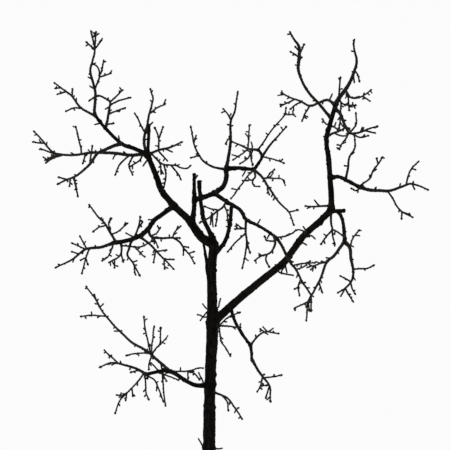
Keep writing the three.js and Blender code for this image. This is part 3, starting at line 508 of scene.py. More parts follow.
def grow_spurs(owner, twig, draw, rule, fits=lambda tip: True):
    """Feet and tips of the spurs along a twig: direction = ahead cos(lean) + outward sin(lean), where outward
    turns by 137.5 degrees, give or take 20, from each spur to the next."""
    found = []
    turn = draw(0, 360)
    along = draw(*FIRST_GAP) * rule["every"] * MM
    for start, end in zip(twig, twig[1:]):
        span = np.linalg.norm(end - start)
        ahead = (end - start) / span
        side = np.cross((0, 1, 0), ahead)
        side /= np.linalg.norm(side)
        third = np.cross(ahead, side)
        while along < span:
            turn += GOLDEN_ANGLE + draw(*TURN_PLAY)
            lean = math.radians(draw(*rule["lean"]))
            length = draw(rule["shortest"], rule["longest"]) * MM
            outward = side * math.cos(math.radians(turn)) + third * math.sin(math.radians(turn))
            foot = start + ahead * min(along, span - rule["from_tip"] * MM)
            tip = foot + (ahead * math.cos(lean) + outward * math.sin(lean)) * length
            if fits(tip) and not touches(owner, foot, tip, SPUR_TAPER[0] * MM / 2):
                found.append(np.array([foot, tip]))
                add_bones(owner, found[-1], SPUR_TAPER)
            along += rule["every"] * MM * draw(*NEXT_GAP)
        along -= span
    return found


def spray_spurs(name, draw, *rule):
    """The spurs of a whole spray: those of its stem past the first step, then those of each shoot."""
    stems = [limbs[name]["points"][1:], *twigs[name]]
    return [spur for stem in stems for spur in grow_spurs(name, stem, draw, *rule)]


for name, spec in {**BOUGHS, **SPRAYS}.items():
    plant(name, **spec)
draws = {name: seeded_draws(i + 1) for i, name in enumerate(SPRAYS)}
for name, draw in draws.items():
    twigs[name] = grow_shoots(limbs[name], limbs[name]["points"], limbs[name]["shoots"], draw)
for name, draw in draws.items():
    spurs[name] = spray_spurs(name, draw, SPURS)
print(sum(map(len, twigs.values())), "shoots,", sum(map(len, spurs.values())), "spurs")

# %% [markdown]
# ## Finer spurs
# A mass of twigs has many more short spurs than its plain solid carries. The same rule runs again with a
# closer spacing and shorter lengths, and keeps each new spur within the space of its own spray. A few stand
# on the boughs, and some odd twigs are set one by one, on the old wood and on the stems of some sprays.

# %% Finer spurs
FINE = dict(every=150, shortest=14, longest=32, lean=(42, 78), from_tip=9)
LONE = dict(every=420, shortest=16, longest=44, lean=(50, 80), from_tip=20)
PROUD = 0.010  # how far a fine spur may leave its spray's box
FINE_SEED, LONE_SEED, ODD_SEED = 101, 201, 251
# Odd twigs that come straight out of a limb or a stem, in the form of a spray's shoots.
ODD = {
    "trunk": [[9.41, -5.1, 0, -2.8, 2.5, -1.4, 1.9], [9.36, -4.8, 0, -2, -2, -2.6, -3.2, -2, -2.8],
              [9.26, -4.9, 0, -4.5, 0, -2.4, 1.7, -2.7, 0.5], [9.44, 5.8, 0, 1.2, 4.5, 1.3, 3.9],
              [6.08, -6.3, 0.3, -2, 2.8, -1.8, 3], [6.04, 7, 0, 3, 0, 2.6, 0.6]],
    "right_bough": [[7.05, 3.5, -1, 3.5, -1, 2.6, -2.4], [6.15, 4.2, -0.8, 3, -1.8], [7.3, -1.8, 2, -2, 2.8],
                    [3.7, 1, -4.5, 7.7, -2.2, 5.6, -0.8], [4.1, 0.8, -4.5, 1.3, -6],
                    [4.05, 0, -5, -2.4, -3, -0.3, -3]],
    "spray_outer_inner": [[2.6, -0.4, -5, 0.6, -6], [2.85, 0.3, -4, -0.4, -4]],
    "lower_left": [[4.35, -4, 2, -5, 2.5]],
    "left_leader": [[7.75, -3, -3, -3, -3.8]],
    "low_left": [[4.7, -3, 3.5, -4.5, 4.5], [0.5, -0.3, 4.5, -2, 4, -1.8, 4.5]],
    "centre_outer": [[5.3, -1.2, -2.4, -1.2, -2.4]],
    "centre_arm": [[1.5, -1.4, -3.2, -2, -3.6]],
    "spray_elbow_left": [[0.95, -2.5, 2.2, -2.5, 3.4]],
    "spray_right_west": [[0.85, 1.6, 3.4, 1.6, 3.4]],
    "spray_droop_outer": [[5.1, -1.5, -3.8, -2, -3.8]],
    "spray_leader_mid": [[1.1, 4, -1.5, 5, -1, 4, 0.5]],
    "spray_outer_east": [[5.3, 1, -2.4, 1.3, -2.6]],
    "spray_knot_right": [[1.5, 3, -1.2, 4, -1.8]],
    "spray_upper_inner": [[2.15, -2, -1, -2.2, -1.3]],
    "spray_top_left": [[3.05, -2.2, 1, -2.2, 1.5]],
    "spray_arm_crown": [[0.6, 0.2, 3.2, -1, 3.8]],
    "spray_low_curl": [[3.1, -2, 2, -2.2, 2.4], [3.15, 2, 1.2, 2.4, 1.8]],
}

fine = {}
for i, name in enumerate(SPRAYS):
    low, high = (np.array(corner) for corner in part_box(name))
    fits = lambda tip: bool(((tip > low - PROUD) & (tip < high + PROUD)).all())
    fine[name] = spray_spurs(name, seeded_draws(FINE_SEED + i), FINE, fits)
lone = {}
for i, name in enumerate(BOUGHS):
    if name != "trunk":
        radius = limbs[name]["wide"][0] * MM / 2
        rule = dict(LONE, shortest=LONE["shortest"] + radius / MM, longest=LONE["longest"] + radius / MM)
        lone[name] = grow_spurs(name, limbs[name]["points"][1:], seeded_draws(LONE_SEED + i), rule)
for i, (name, shoots) in enumerate(ODD.items()):
    draw = seeded_draws(ODD_SEED + i)
    lone[name] = lone.get(name, []) + grow_shoots(limbs[name], limbs[name]["points"], shoots, draw)
print(sum(map(len, fine.values())), "fine spurs,", sum(map(len, lone.values())), "that stand alone")

# %% [markdown]
# ## Noise
# Bark is a rough surface with no two places alike. Value noise gives that from a formula: a number is
# hashed for each corner of a cell and blended across it, for every point of an array at once.

# %% Value noise
PRIMES, SEED_PRIME, MIXING = (374761393, 668265263, 2246822519), 3266489917, 1274126177
LOW_32, LOW_24 = 0xFFFFFFFF, 0xFFFFFF  # masks that keep the lowest bits of a whole number


def hashed(cells, seed):
    """A repeatable number from 0 to 1 for each cell: its three indices times large primes, mixed and cut."""
    mixed = sum(cells[..., axis] * prime for axis, prime in enumerate(PRIMES)) + seed * SEED_PRIME
    mixed = mixed & LOW_32
    mixed = ((mixed ^ (mixed >> 13)) * MIXING) & LOW_32
    return ((mixed ^ (mixed >> 16)) & LOW_24) / LOW_24


def noise(places, seed):
    """The eight corners of each place's cell, weighted by 3f^2 - 2f^3 of its share f of the way across."""
    cells = np.floor(places).astype(np.int64)
    f = places - cells
    f = f * f * (3 - 2 * f)
    total = 0.0
    for corner in itertools.product((0, 1), repeat=3):
        weight = np.prod(np.where(corner, f, 1 - f), axis=-1)
        total = total + weight * hashed(cells + np.array(corner), seed)
    return total


def ramp(value, low, high):
    """0 below low, 1 above high, 3t^2 - 2t^3 between."""
    t = np.clip((value - low) / (high - low), 0, 1)
    return t * t * (3 - 2 * t)


print("noise at a place", round(float(noise(np.array([[0.3, 1.7, 2.2]]), 1)[0]), 3))

# %% [markdown]
# ## Bark in relief
# The bark of a small hardwood breaks into long plates with cracks between them, and its edge is rough
# against the sky. The relief is a function of the place around and along a limb. Cracks lie where a noise
# that is drawn out along the limb crosses its middle value, shorter cracks cut the plates across, and burrs
# stand out here and there.

# %% Bark relief
# The cell of each noise field, across and along the limb in metres.
SWAY_CELL, PLATE_CELL, BLOCK_CELL = (0.05, 0.12), (0.017, 0.085), (0.034, 0.026)
CRUMB_CELL, LUMP_CELL = (0.0075, 0.012), (0.06, 0.11)
LONG_CRACK, SHORT_CRACK = 0.42, 0.28  # how wide the cracks are, as a share of the noise
SWAY, LUMP = 0.016, 0.10  # metres that a crack wanders, and a lump's height as a share of the radius


def bark_height(around, along, radius, depth, seed):
    """depth (plates (0.6 + 0.4 blocks) (0.7 + 0.6 crumbs) - 0.5) + lumps: plates rise beside the long cracks,
    blocks between the short ones, and crumbs roughen both. Also gives what the colour follows: high on the
    plates and low in the cracks, where the colour paints shade."""
    x, y = radius * np.cos(around), radius * np.sin(around)

    def field(cell, k, shift=0.0):
        places = np.stack([(x + shift) / cell[0], (y + shift) / cell[0], along / cell[1]], axis=-1)
        return noise(places, seed * 16 + k)

    sway = SWAY * (field(SWAY_CELL, 1) - 0.5)
    plates = ramp(np.abs(2 * field(PLATE_CELL, 2, sway) - 1), 0.0, LONG_CRACK)
    blocks = ramp(np.abs(2 * field(BLOCK_CELL, 3, sway) - 1), 0.0, SHORT_CRACK)
    crumbs = field(CRUMB_CELL, 4)
    lumps = field(LUMP_CELL, 5) - 0.5
    height = depth * (plates * (0.6 + 0.4 * blocks) * (0.7 + 0.6 * crumbs) - 0.5) + LUMP * radius * lumps
    return height, plates * (0.5 + 0.5 * blocks)


BURR_HEIGHT = 0.55  # of a burr's width
LOWEST_BURR = 0.02  # as a share of the limb's length
BURRS = dict(per_metre=34, narrowest=0.006, widest=0.017)
# Burls: the angle round the limb from its right side, the distance from its foot and the width, in metres.
BURLS = {"trunk": [(math.pi, 1.83, 0.028), (0.2, 1.82, 0.020), (0.1, 2.55, 0.026), (6.2, 2.45, 0.026)],
         "right_stub": [(0.0, 0.085, 0.016)],
         "riser": [(0.0, 0.52, 0.014), (0.1, 0.455, 0.020), (0.0, 0.38, 0.010)]}


def burr_height(around, along, radius, draw, burls):
    """Sum of bells h exp(-(d/w)^2), where d is the distance over the bark to each burr's or burl's middle."""
    length = along[-1, 0]
    spots = [(draw(0, 2 * math.pi), draw(LOWEST_BURR, 1) * length, draw(BURRS["narrowest"], BURRS["widest"]))
             for _ in range(int(BURRS["per_metre"] * length))]
    total = np.zeros_like(around)
    for turn, place, width in spots + burls:
        across = radius * (np.mod(around - turn + math.pi, 2 * math.pi) - math.pi)
        total += BURR_HEIGHT * width * np.exp(-(across**2 + (along - place) ** 2) / width**2)
    return total


print(sum(map(len, BURLS.values())), "burls")

# %% [markdown]
# ## A limb as a swept surface
# A limb is a ring carried along its curve. The ring stands square to the curve, with one arm at right
# angles to the depth axis, so that neighbouring rings never twist. Near its end the radius falls like a
# quarter circle, which closes the limb in a dome.

# %% Swept limbs
DOME_TURNS = np.radians([22, 42, 60, 76])
BOUGH_DOME, LONGEST_DOME = 0.85, 0.45  # a dome's height: of the tip's radius, and at most of the limb


def stations(points, ring_gap, tip_radius, dome=BOUGH_DOME):
    """Distances of the rings: even up to the dome, then closing in. Also gives the dome's share at each."""
    length = miles(points)[-1]
    cap = min(dome * tip_radius, LONGEST_DOME * length)
    even = np.linspace(0, length - cap, max(3, math.ceil((length - cap) / ring_gap) + 1))
    closing = length - cap + cap * np.sin(DOME_TURNS)
    return np.concatenate([even, closing]), np.concatenate([np.ones(len(even)), np.cos(DOME_TURNS)])


def frames(points, distances):
    """Centre, direction and two arms of a ring at each distance: side = Y x ahead, third = ahead x side."""
    along = miles(points)
    centre, ahead = smooth(points, np.interp(distances, along, np.arange(len(along))))
    side = np.cross((0.0, 1.0, 0.0), ahead)
    side /= np.linalg.norm(side, axis=1, keepdims=True)
    return centre, ahead, side, np.cross(ahead, side)


def swept(centre, side, third, around, radius):
    """centre + radius (side cos + third sin), for every ring and every angle."""
    out = side[:, None] * np.cos(around)[..., None] + third[:, None] * np.sin(around)[..., None]
    return centre[:, None] + radius[..., None] * out, out


def closed_faces(rings, sides):
    """Quads between neighbouring rings, and a fan of triangles to a pole at each end. The poles come last."""
    ring, spot = np.meshgrid(np.arange(rings - 1), np.arange(sides), indexing="ij")
    after = (spot + 1) % sides
    here, above = ring * sides, (ring + 1) * sides
    quads = np.stack([here + spot, here + after, above + after, above + spot], -1)
    spot = np.arange(sides)
    after = (spot + 1) % sides
    foot, tip, last = rings * sides, rings * sides + 1, (rings - 1) * sides
    fans = np.concatenate([np.stack([after, spot, np.full(sides, foot)], -1),
                           np.stack([last + spot, last + after, np.full(sides, tip)], -1)])
    return quads.reshape(-1, 4), fans


class Gathered:
    """Surfaces that are joined into one piece: vertices, faces and the numbers that the colours follow."""

    def __init__(self):
        self.points, self.quads, self.fans, self.grain, self.relief = [], [], [], [], []
        self.count = 0

    def add(self, points, quads, fans, grain, relief):
        self.points.append(points.reshape(-1, 3))
        self.quads.append(quads.reshape(-1, 4) + self.count)
        self.fans.append(fans.reshape(-1, 3) + self.count)
        self.grain.append(grain.reshape(-1, 3))
        self.relief.append(relief.reshape(-1))
        self.count += len(self.points[-1])

    def piece(self, name, material):
        """Puts the arrays into one smooth mesh, with the grain and the relief as attributes of its points."""
        points = np.concatenate(self.points)
        quads, fans = np.concatenate(self.quads), np.concatenate(self.fans)
        mesh = bpy.data.meshes.new(name)
        mesh.vertices.add(len(points))
        mesh.vertices.foreach_set("co", points.astype(np.float32).ravel())
        mesh.loops.add(quads.size + fans.size)
        mesh.loops.foreach_set("vertex_index", np.concatenate([quads.ravel(), fans.ravel()]).astype(np.int32))
        mesh.polygons.add(len(quads) + len(fans))
        starts = np.concatenate([np.arange(len(quads)) * 4, quads.size + np.arange(len(fans)) * 3])
        mesh.polygons.foreach_set("loop_start", starts.astype(np.int32))
        mesh.polygons.foreach_set("use_smooth", np.ones(len(starts), bool))
        mesh.attributes.new("grain", "FLOAT_VECTOR", "POINT").data.foreach_set(
            "vector", np.concatenate(self.grain).astype(np.float32).ravel())
        mesh.attributes.new("relief", "FLOAT", "POINT").data.foreach_set(
            "value", np.concatenate(self.relief).astype(np.float32))
        mesh.update(calc_edges=True)
        mesh.materials.append(material)
        made = bpy.data.objects.new(name, mesh)
        scene.collection.objects.link(made)
        print(name, len(quads) * 2 + len(fans), "triangles")
        return made


print("a ring of 4 and 3 rings have", len(closed_faces(3, 4)[0]), "quads")

# %% [markdown]
# ## The forks
# Where a bough leaves its carrier the wood is drawn up into a smooth collar. Each surface is pushed out
# where it comes near the other limb, by a smooth blend of two distances. Both surfaces swell by the same
# amount where they meet, so the crease between them fills.

# %% Collars and forks
def own_radius(limb, distances, around):
    """The plain radius by the source's rule: taper (1 + swell), with a collar at the foot and a knob at the
    end, or with the root flare."""
    along = miles(limb["points"])
    length = along[-1]
    radius = taper_at(limb, np.interp(distances, along, np.arange(len(along))))[:, None] + 0 * around
    distances = distances[:, None]
    at, share, reach = limb["swell"]
    middle = np.interp(at, np.arange(len(along)), along)
    radius = radius * (1 + share * np.exp(-(((distances - middle) / (reach * MM)) ** 2)))
    if limb["on"]:
        seat = taper_at(limbs[limb["on"]], limb["at"])
        fade = COLLAR["length"] * seat + COLLAR["least"]
        radius = radius * (1 + COLLAR["swell"] * np.exp(-np.maximum(0, distances - seat) / fade))
        knob_length = limb["wide"][1] * MM * KNOB_LENGTH
        return radius * (1 + limb["knob"] * np.exp(-(((length - distances) / knob_length) ** 2)))
    ribs = 1 + FLARE["rib_depth"] * np.cos(FLARE["ribs"] * around)
    return radius + FLARE["reach"] * ribs * np.exp(-distances / FLARE["height"])


BEAD_GAP = 0.006
FORK_REACH, FORK_SPAN = 0.95, 3.5  # of the child's radius and of its thickness
ROWS_MARGIN, BEADS_MARGIN = 0.05, 0.08  # how much farther from the fork rings and beads are looked at


def beads(limb):
    """A limb as a row of balls, which makes the distance to it quick to measure."""
    distances = np.arange(0, miles(limb["points"])[-1], BEAD_GAP)
    centre = frames(limb["points"], distances)[0]
    return centre, own_radius(limb, distances, np.zeros((len(distances), 1)))[:, 0]


def fork_swelling(limb, points, centre):
    """(k/4) (1 - d/k)^2 within k of another limb's surface: the offset of a smooth union of two distances."""
    swelling = np.zeros(points.shape[:2])
    joined = [other for other in limbs.values() if other["on"] == limb["name"]]
    joined += [limb] if limb["on"] else []
    for child in joined:
        other = limbs[limb["on"]] if child is limb else child
        reach = FORK_REACH * child["wide"][0] * MM / 2
        seat = child["points"][0]
        span = taper_at(limbs[child["on"]], child["at"]) + FORK_SPAN * child["wide"][0] * MM
        rows = np.flatnonzero(np.linalg.norm(centre - seat, axis=1) < span + ROWS_MARGIN)
        balls, radii = beads(other)
        close = np.linalg.norm(balls - seat, axis=1) < span + BEADS_MARGIN
        if not len(rows) or not close.any():
            continue
        gaps = np.linalg.norm(points[rows][:, :, None] - balls[close], axis=-1) - radii[close]
        away = np.clip(gaps.min(axis=-1), 0, reach)
        swelling[rows] = np.maximum(swelling[rows], reach / 4 * (1 - away / reach) ** 2)
    return swelling


ground_radius = own_radius(limbs["trunk"], np.zeros(1), np.zeros((1, 1)))[0, 0]
print("trunk radius at the ground", round(float(ground_radius), 3), "m")

# %% [markdown]
# ## Bark and twig finishes
# Winter bark is dark and matt, and here every tone of the wood is darkened further to near black with painted
# shade. Its plates carry the bark's own tone, its cracks are painted nearly black with shade, and thin grey
# lichen dusts the sides. Twigs are smoother and a little glossy, with pale pores. Buds are brown and shiny,
# wrapped in scales.

# %% Materials
# Tones of the bark, its cracks, the lichen, the pores and the buds: dark in themselves, and darkened further
# to near black with painted shade.
BARK_CRACK_PAINTED_SHADE, BARK_PLATE_WITH_PAINTED_SHADE, LICHEN_WITH_PAINTED_SHADE = (0.0022, 0.0019, 0.0017), (0.0122, 0.0106, 0.0093), (0.031, 0.034, 0.029)
PORE_TONE_WITH_PAINTED_SHADE = (0.040, 0.035, 0.029)
DARKER, PALER = 0.55, 1.5  # shares of a twig's tone
BUD_EDGE_WITH_PAINTED_SHADE, BUD_SCALE_WITH_PAINTED_SHADE = (0.007, 0.0045, 0.0035), (0.030, 0.018, 0.013)


def mesh_measures(wire):
    """The two measures that a mesh carries: its grain, a place round and along the limb, and its relief."""
    grain = wire.node("Attribute", {"attribute_name": "grain"}, {}, out="Vector")
    relief = wire.node("Attribute", {"attribute_name": "relief"}, {}, out="Fac")
    return grain, relief


def bark_shade(wire):
    """Plates over cracks painted nearly black with shade, fibres along the limb, and grey lichen in patches.
    """
    grain, relief = mesh_measures(wire)
    place = wire.node("TexCoord", {}, {}, out="Object")
    lengthwise = grain.stretched((1, 1, 0.16))
    fibres = wire.node("TexNoise", {}, {"Vector": lengthwise, "Scale": 420.0, "Detail": 5.0})
    crumbs = wire.node("TexNoise", {}, {"Vector": grain, "Scale": 160.0, "Detail": 6.0, "Roughness": 0.65})
    patches = wire.node("TexNoise", {}, {"Vector": place, "Scale": 7.0, "Detail": 5.0, "Roughness": 0.6})
    # The plates mask gives the bark's tone on the plates and painted shade, nearly black, in the cracks where
    # the relief sinks.
    plates = (relief * 0.75 + crumbs * 0.5 - 0.22).between(0.05, 0.85)
    wood = plates.mix(BARK_CRACK_PAINTED_SHADE, BARK_PLATE_WITH_PAINTED_SHADE)
    lichen = patches.between(0.56, 0.74) * crumbs.between(0.42, 0.62) * 0.45
    height = relief * 0.5 + fibres * 0.5 + crumbs * 0.8
    bump = wire.node("Bump", {}, {"Strength": 0.75, "Distance": 0.0022, "Height": height})
    return {"Base Color": lichen.mix(wood, LICHEN_WITH_PAINTED_SHADE), "Roughness": 0.95 - crumbs * 0.22,
            "Normal": bump, "Specular IOR Level": 0.09}


def twig_shade(tone):
    """Smooth skin of one tone, darker between the nodes, with pale pores that stand a little proud."""
    def shade(wire):
        grain, relief = mesh_measures(wire)
        long_grain, short_grain = grain.stretched((1, 1, 0.3)), grain.stretched((1, 1, 0.55))
        skin = wire.node("TexNoise", {}, {"Vector": long_grain, "Scale": 260.0, "Detail": 4.0})
        pores = wire.node("TexVoronoi", {}, {"Vector": short_grain, "Scale": 190.0}, out="Distance")
        pore = 1 - pores.between(0.12, 0.26)
        dark, pale = tuple(c * DARKER for c in tone), tuple(c * PALER for c in tone)
        wood = (skin * 0.7 + relief * 0.5 - 0.1).between(0.1, 0.9).mix(dark, pale)
        bump = wire.node("Bump", {}, {"Strength": 0.6, "Distance": 0.0008, "Height": skin * 0.7 + pore * 0.6})
        return {"Base Color": (pore * 0.5).mix(wood, PORE_TONE_WITH_PAINTED_SHADE), "Roughness": 0.74 - skin * 0.2,
                "Normal": bump, "Specular IOR Level": 0.2}
    return shade


def bud_shade(wire):
    """Brown scales with darker edges and a fine down."""
    grain, relief = mesh_measures(wire)
    down = wire.node("TexNoise", {}, {"Vector": grain, "Scale": 500.0, "Detail": 3.0})
    scales = (relief * 0.8 + down * 0.35).between(0.25, 0.95)
    bump = wire.node("Bump", {}, {"Strength": 0.5, "Distance": 0.0006, "Height": down + relief})
    return {"Base Color": scales.mix(BUD_EDGE_WITH_PAINTED_SHADE, BUD_SCALE_WITH_PAINTED_SHADE), "Roughness": 0.62 - scales * 0.2,
            "Normal": bump, "Specular IOR Level": 0.2}


# The twigs' own dark tones, darkened further to near black with painted shade.
TWIG_TONES_WITH_PAINTED_SHADE = {"low": (0.013, 0.0105, 0.009), "left": (0.014, 0.0105, 0.009), "under": (0.012, 0.010, 0.009),
              "centre": (0.0135, 0.011, 0.009), "right": (0.0125, 0.0095, 0.0085)}
bark = new_material("fissured_bark", bark_shade)
twig_barks = {name: new_material("twig_bark_" + name, twig_shade(tone)) for name, tone in TWIG_TONES_WITH_PAINTED_SHADE.items()}
bud_skin = new_material("bud_scales", bud_shade)
print(len(bpy.data.materials), "materials")

# %% [markdown]
# ## Trunk and boughs
# Each bough is its own surface, with rings about 5 mm apart. The relief is deepest on the old wood of the
# trunk and fades towards the thin ends.

# %% Dress the trunk and boughs
TRUNK_GAP, BOUGH_GAP = 0.0052, 0.0056  # metres between rings and between the points of a ring
FEWEST_SIDES = 14
BARK_DEPTH, BARK_SHARE = 0.0052, 0.085  # the deepest relief, in metres and as a share of the radius
BURR_RADIUS = 0.024  # burrs are lower on limbs that are thinner than this
CUT_FADE = 0.03  # the relief fades out over this height above the flat cut
POLE_RISE = 0.0007
POLE_RELIEF = [0.5, 0.5]
BARK_SEED = 301


def bough_piece(limb, seed, gap):
    """radius + bark height + burrs + the fork's swelling, carried round the limb's own curve."""
    draw = seeded_draws(BARK_SEED + seed)
    distances, dome = stations(limb["points"], gap, limb["wide"][1] * MM / 2 * (1 + limb["knob"]))
    sides = max(FEWEST_SIDES, math.ceil(math.pi * limb["wide"][0] * MM / gap))
    centre, ahead, side, third = frames(limb["points"], distances)
    around = np.broadcast_to(np.arange(sides) * 2 * math.pi / sides, (len(distances), sides))
    along = np.broadcast_to(distances[:, None], around.shape)
    plain = own_radius(limb, distances, around)
    depth = np.minimum(BARK_DEPTH, BARK_SHARE * plain)
    height, plates = bark_height(around, along, plain, depth, seed)
    burrs = burr_height(around, along, plain, draw, BURLS.get(limb["name"], []))
    height = height + burrs * np.minimum(1, plain / BURR_RADIUS)
    points, out = swept(centre, side, third, around, plain * dome[:, None])
    swelling = fork_swelling(limb, points, centre)
    level = 1.0 if limb["on"] else ramp(distances, 0.0, CUT_FADE)[:, None]
    points = points + out * ((height * level + swelling) * dome[:, None])[..., None]
    if not limb["on"]:
        points[0, :, 2] = 0.0
    poles = np.array([centre[0], centre[-1] + ahead[-1] * POLE_RISE])
    local = np.stack([plain * np.cos(around), plain * np.sin(around), along], axis=-1)
    gathered = Gathered()
    gathered.add(np.concatenate([points.reshape(-1, 3), poles]), *closed_faces(*around.shape),
                 np.concatenate([local.reshape(-1, 3), np.zeros((2, 3))]),
                 np.concatenate([plates.ravel(), POLE_RELIEF]))
    return gathered.piece("bark_" + limb["name"], bark)


bark_pieces = {}
for i, name in enumerate(BOUGHS):
    bark_pieces[name] = bough_piece(limbs[name], i, TRUNK_GAP if name == "trunk" else BOUGH_GAP)

# %% [markdown]
# ## Twigs
# A twig swells at each bud, turns a little there, and thins towards its tip. Long twigs and short spurs are
# made by one function of the place along and around, and are joined by the part of the crown that they
# stand in.

# %% Twigs and spurs
STEM = dict(ring_gap=0.0062, sides=10, wander=0.0022, node_gap=0.036)
SHOOT = dict(ring_gap=0.0062, sides=8, wander=0.0022, node_gap=0.036)
SPUR = dict(ring_gap=0.0050, sides=7, wander=0.0006, node_gap=0.010)
LONE_SPUR = dict(SPUR, node_gap=0.011)
NODE_SWELL, NODE_LENGTH = 0.26, 0.005
SWAY_WAVE, LIFT_WAVE, SWAY_START = 0.05, 0.034, 0.04  # metres over which a twig bends to and fro
CRINKLE, CRINKLE_CELL = 0.16, (0.006, 0.006, 0.012)
FIRST_NODE, NODE_PLAY = (0.4, 1.0), (0.85, 1.15)  # shares of the gap between nodes
TIP_RISE = 0.03  # of the tip's radius, from the last ring to the pole
ROUND = 6.28  # nearly a full turn in radians


def twig_surface(gathered, points, radius, draw, ring_gap, sides, wander, node_gap):
    """radius(share) (1 + 0.26 sum exp(-((s - node)/5 mm)^2) (0.6 + 0.4 cos(angle - turn)) + crinkle), along a
    curve that sways and lifts by sines. Gives what the buds need: their spots, the phase and the tip."""
    tip_radius = float(radius(1.0)[0])
    distances, dome = stations(points, ring_gap, tip_radius, 1.0)
    length = miles(points)[-1]
    centre, ahead, side, third = frames(points, distances)
    shares = distances / length
    phase = draw(0, ROUND)
    sway = wander * np.sin(distances / SWAY_WAVE + phase) * np.minimum(1, distances / SWAY_START)
    lift = wander * np.sin(distances / LIFT_WAVE + 2 * phase) * np.minimum(1, distances / SWAY_START)
    centre = centre + side * sway[:, None] + third * lift[:, None]
    around = np.broadcast_to(np.arange(sides) * 2 * math.pi / sides, (len(distances), sides))
    along = np.broadcast_to(distances[:, None], around.shape)
    swell = np.zeros(around.shape)
    nodes = np.arange(draw(*FIRST_NODE) * node_gap, length, node_gap * draw(*NODE_PLAY))
    for i, node in enumerate(nodes):
        turn = math.radians(GOLDEN_ANGLE * i) + phase
        bell = np.exp(-(((along - node) / NODE_LENGTH) ** 2))
        swell = swell + NODE_SWELL * bell * (0.6 + 0.4 * np.cos(around - turn))
    plain = radius(shares)[:, None] + 0 * around
    local = np.stack([plain * np.cos(around), plain * np.sin(around), along + phase], axis=-1)
    crinkle = CRINKLE * (noise(local / CRINKLE_CELL, int(phase * 1000)) - 0.5)
    wide = plain * (1 + swell + crinkle)
    placed, _ = swept(centre, side, third, around, wide * dome[:, None])
    poles = np.array([centre[0], centre[-1] + ahead[-1] * tip_radius * TIP_RISE])
    gathered.add(np.concatenate([placed.reshape(-1, 3), poles]), *closed_faces(*around.shape),
                 np.concatenate([local.reshape(-1, 3), np.zeros((2, 3))]),
                 np.concatenate([(0.5 + swell + crinkle).ravel(), POLE_RELIEF]))
    spots = frames(points, nodes) if len(nodes) else None
    return dict(phase=phase, spots=spots, radius=radius(nodes / length), tip=centre[-1], ahead=ahead[-1])


# The skin, pores and lichen of a living twig make it this much thicker than its plain solid.
STOUT = {"low": 1.2, "left": 1.32, "under": 1.2, "centre": 1.22, "right": 1.28}


def stem_radius(limb, stout):
    """The radius of a spray's stem by the source's rule, for a share of its length."""
    length = miles(limb["points"])[-1]
    return lambda share: stout * own_radius(limb, np.atleast_1d(share * length), np.zeros((1, 1)))[:, 0]


def even_radius(foot, tip, stout):
    """The radius of an even taper from foot to tip, for a share of its length."""
    return lambda share: np.atleast_1d(foot + (tip - foot) * share) * stout * MM / 2


print("twigs are", min(STOUT.values()), "to", max(STOUT.values()), "times as thick as the plain solids")

# %% [markdown]
# ## Where the buds sit
# On a real twig one bud sits at each swelling, turned on by the golden angle from the last, and a cluster
# of larger ones crowds round the tip. Here each bud is only noted: its base, its direction, its width and
# its length.

# %% Places of the buds
STEM_BUDS = dict(lean=0.5, wide=0.0090, long=0.014, skip_first=2)
SHOOT_BUDS = dict(lean=0.5, wide=0.0085, long=0.013, skip_first=1)
STEM_END = dict(wide=0.0225, long=0.026, beside=3)
SHOOT_END = dict(wide=0.0220, long=0.025, beside=3)
SPUR_END = dict(wide=0.0185, long=0.022)
BESIDE_LEAN, BESIDE_SIZE, BESIDE_DROP = (34, 62), (0.6, 0.82), (0.003, 0.008)
BESIDE_SPUR = (0.6, 2.99)  # cut to a whole number: none, one or two smaller buds on a spur's tip
BUD_SEAT = 0.75  # how far out on the twig's radius a bud's base lies
OFF_AXIS = (0.31, 0.84, 0.44)  # a direction that no twig lies along, to measure turns from
THICKEST_WITH_BUDS = 0.0095  # the radius of wood above which side buds no longer show


def bud_row(rows, twig, lean, wide, long, skip_first):
    """Side buds of one twig: one at each node, leaning out by the node's own turn."""
    if twig["spots"] is None:
        return
    centre, ahead, side, third = twig["spots"]
    turn = np.radians(GOLDEN_ANGLE) * np.arange(len(centre)) + twig["phase"]
    outward = side * np.cos(turn)[:, None] + third * np.sin(turn)[:, None]
    keep = (np.arange(len(centre)) >= skip_first) & (twig["radius"] < THICKEST_WITH_BUDS)
    aim = ahead * math.cos(lean) + outward * math.sin(lean)
    base = centre + outward * (twig["radius"] * BUD_SEAT)[:, None]
    for b, a in zip(base[keep], aim[keep]):
        rows.append((b, a, wide, long))


def bud_cluster(rows, twig, draw, wide, long, beside):
    """One bud on the tip and smaller ones beside it, which lean out by about 45 degrees."""
    tip, ahead = twig["tip"], twig["ahead"]
    rows.append((tip - ahead * BESIDE_DROP[0], ahead, wide, long))
    side = np.cross(ahead, OFF_AXIS)
    side /= np.linalg.norm(side)
    third = np.cross(ahead, side)
    turn = draw(0, ROUND)
    for _ in range(beside):
        outward = side * math.cos(turn) + third * math.sin(turn)
        lean = math.radians(draw(*BESIDE_LEAN))
        size = draw(*BESIDE_SIZE)
        base = tip - ahead * draw(*BESIDE_DROP)
        rows.append((base, ahead * math.cos(lean) + outward * math.sin(lean), wide * size, long * size))
        turn += math.radians(GOLDEN_ANGLE)


print("a cluster on a stem's end has", 1 + STEM_END["beside"], "buds")

# %% [markdown]
# ## The crown in five parts
# Thousands of separate twigs would be slow to handle, so all the twigs that grow from one group of boughs
# are joined into one surface. Each part keeps its own tone, as neighbouring sprays of a real crown do.

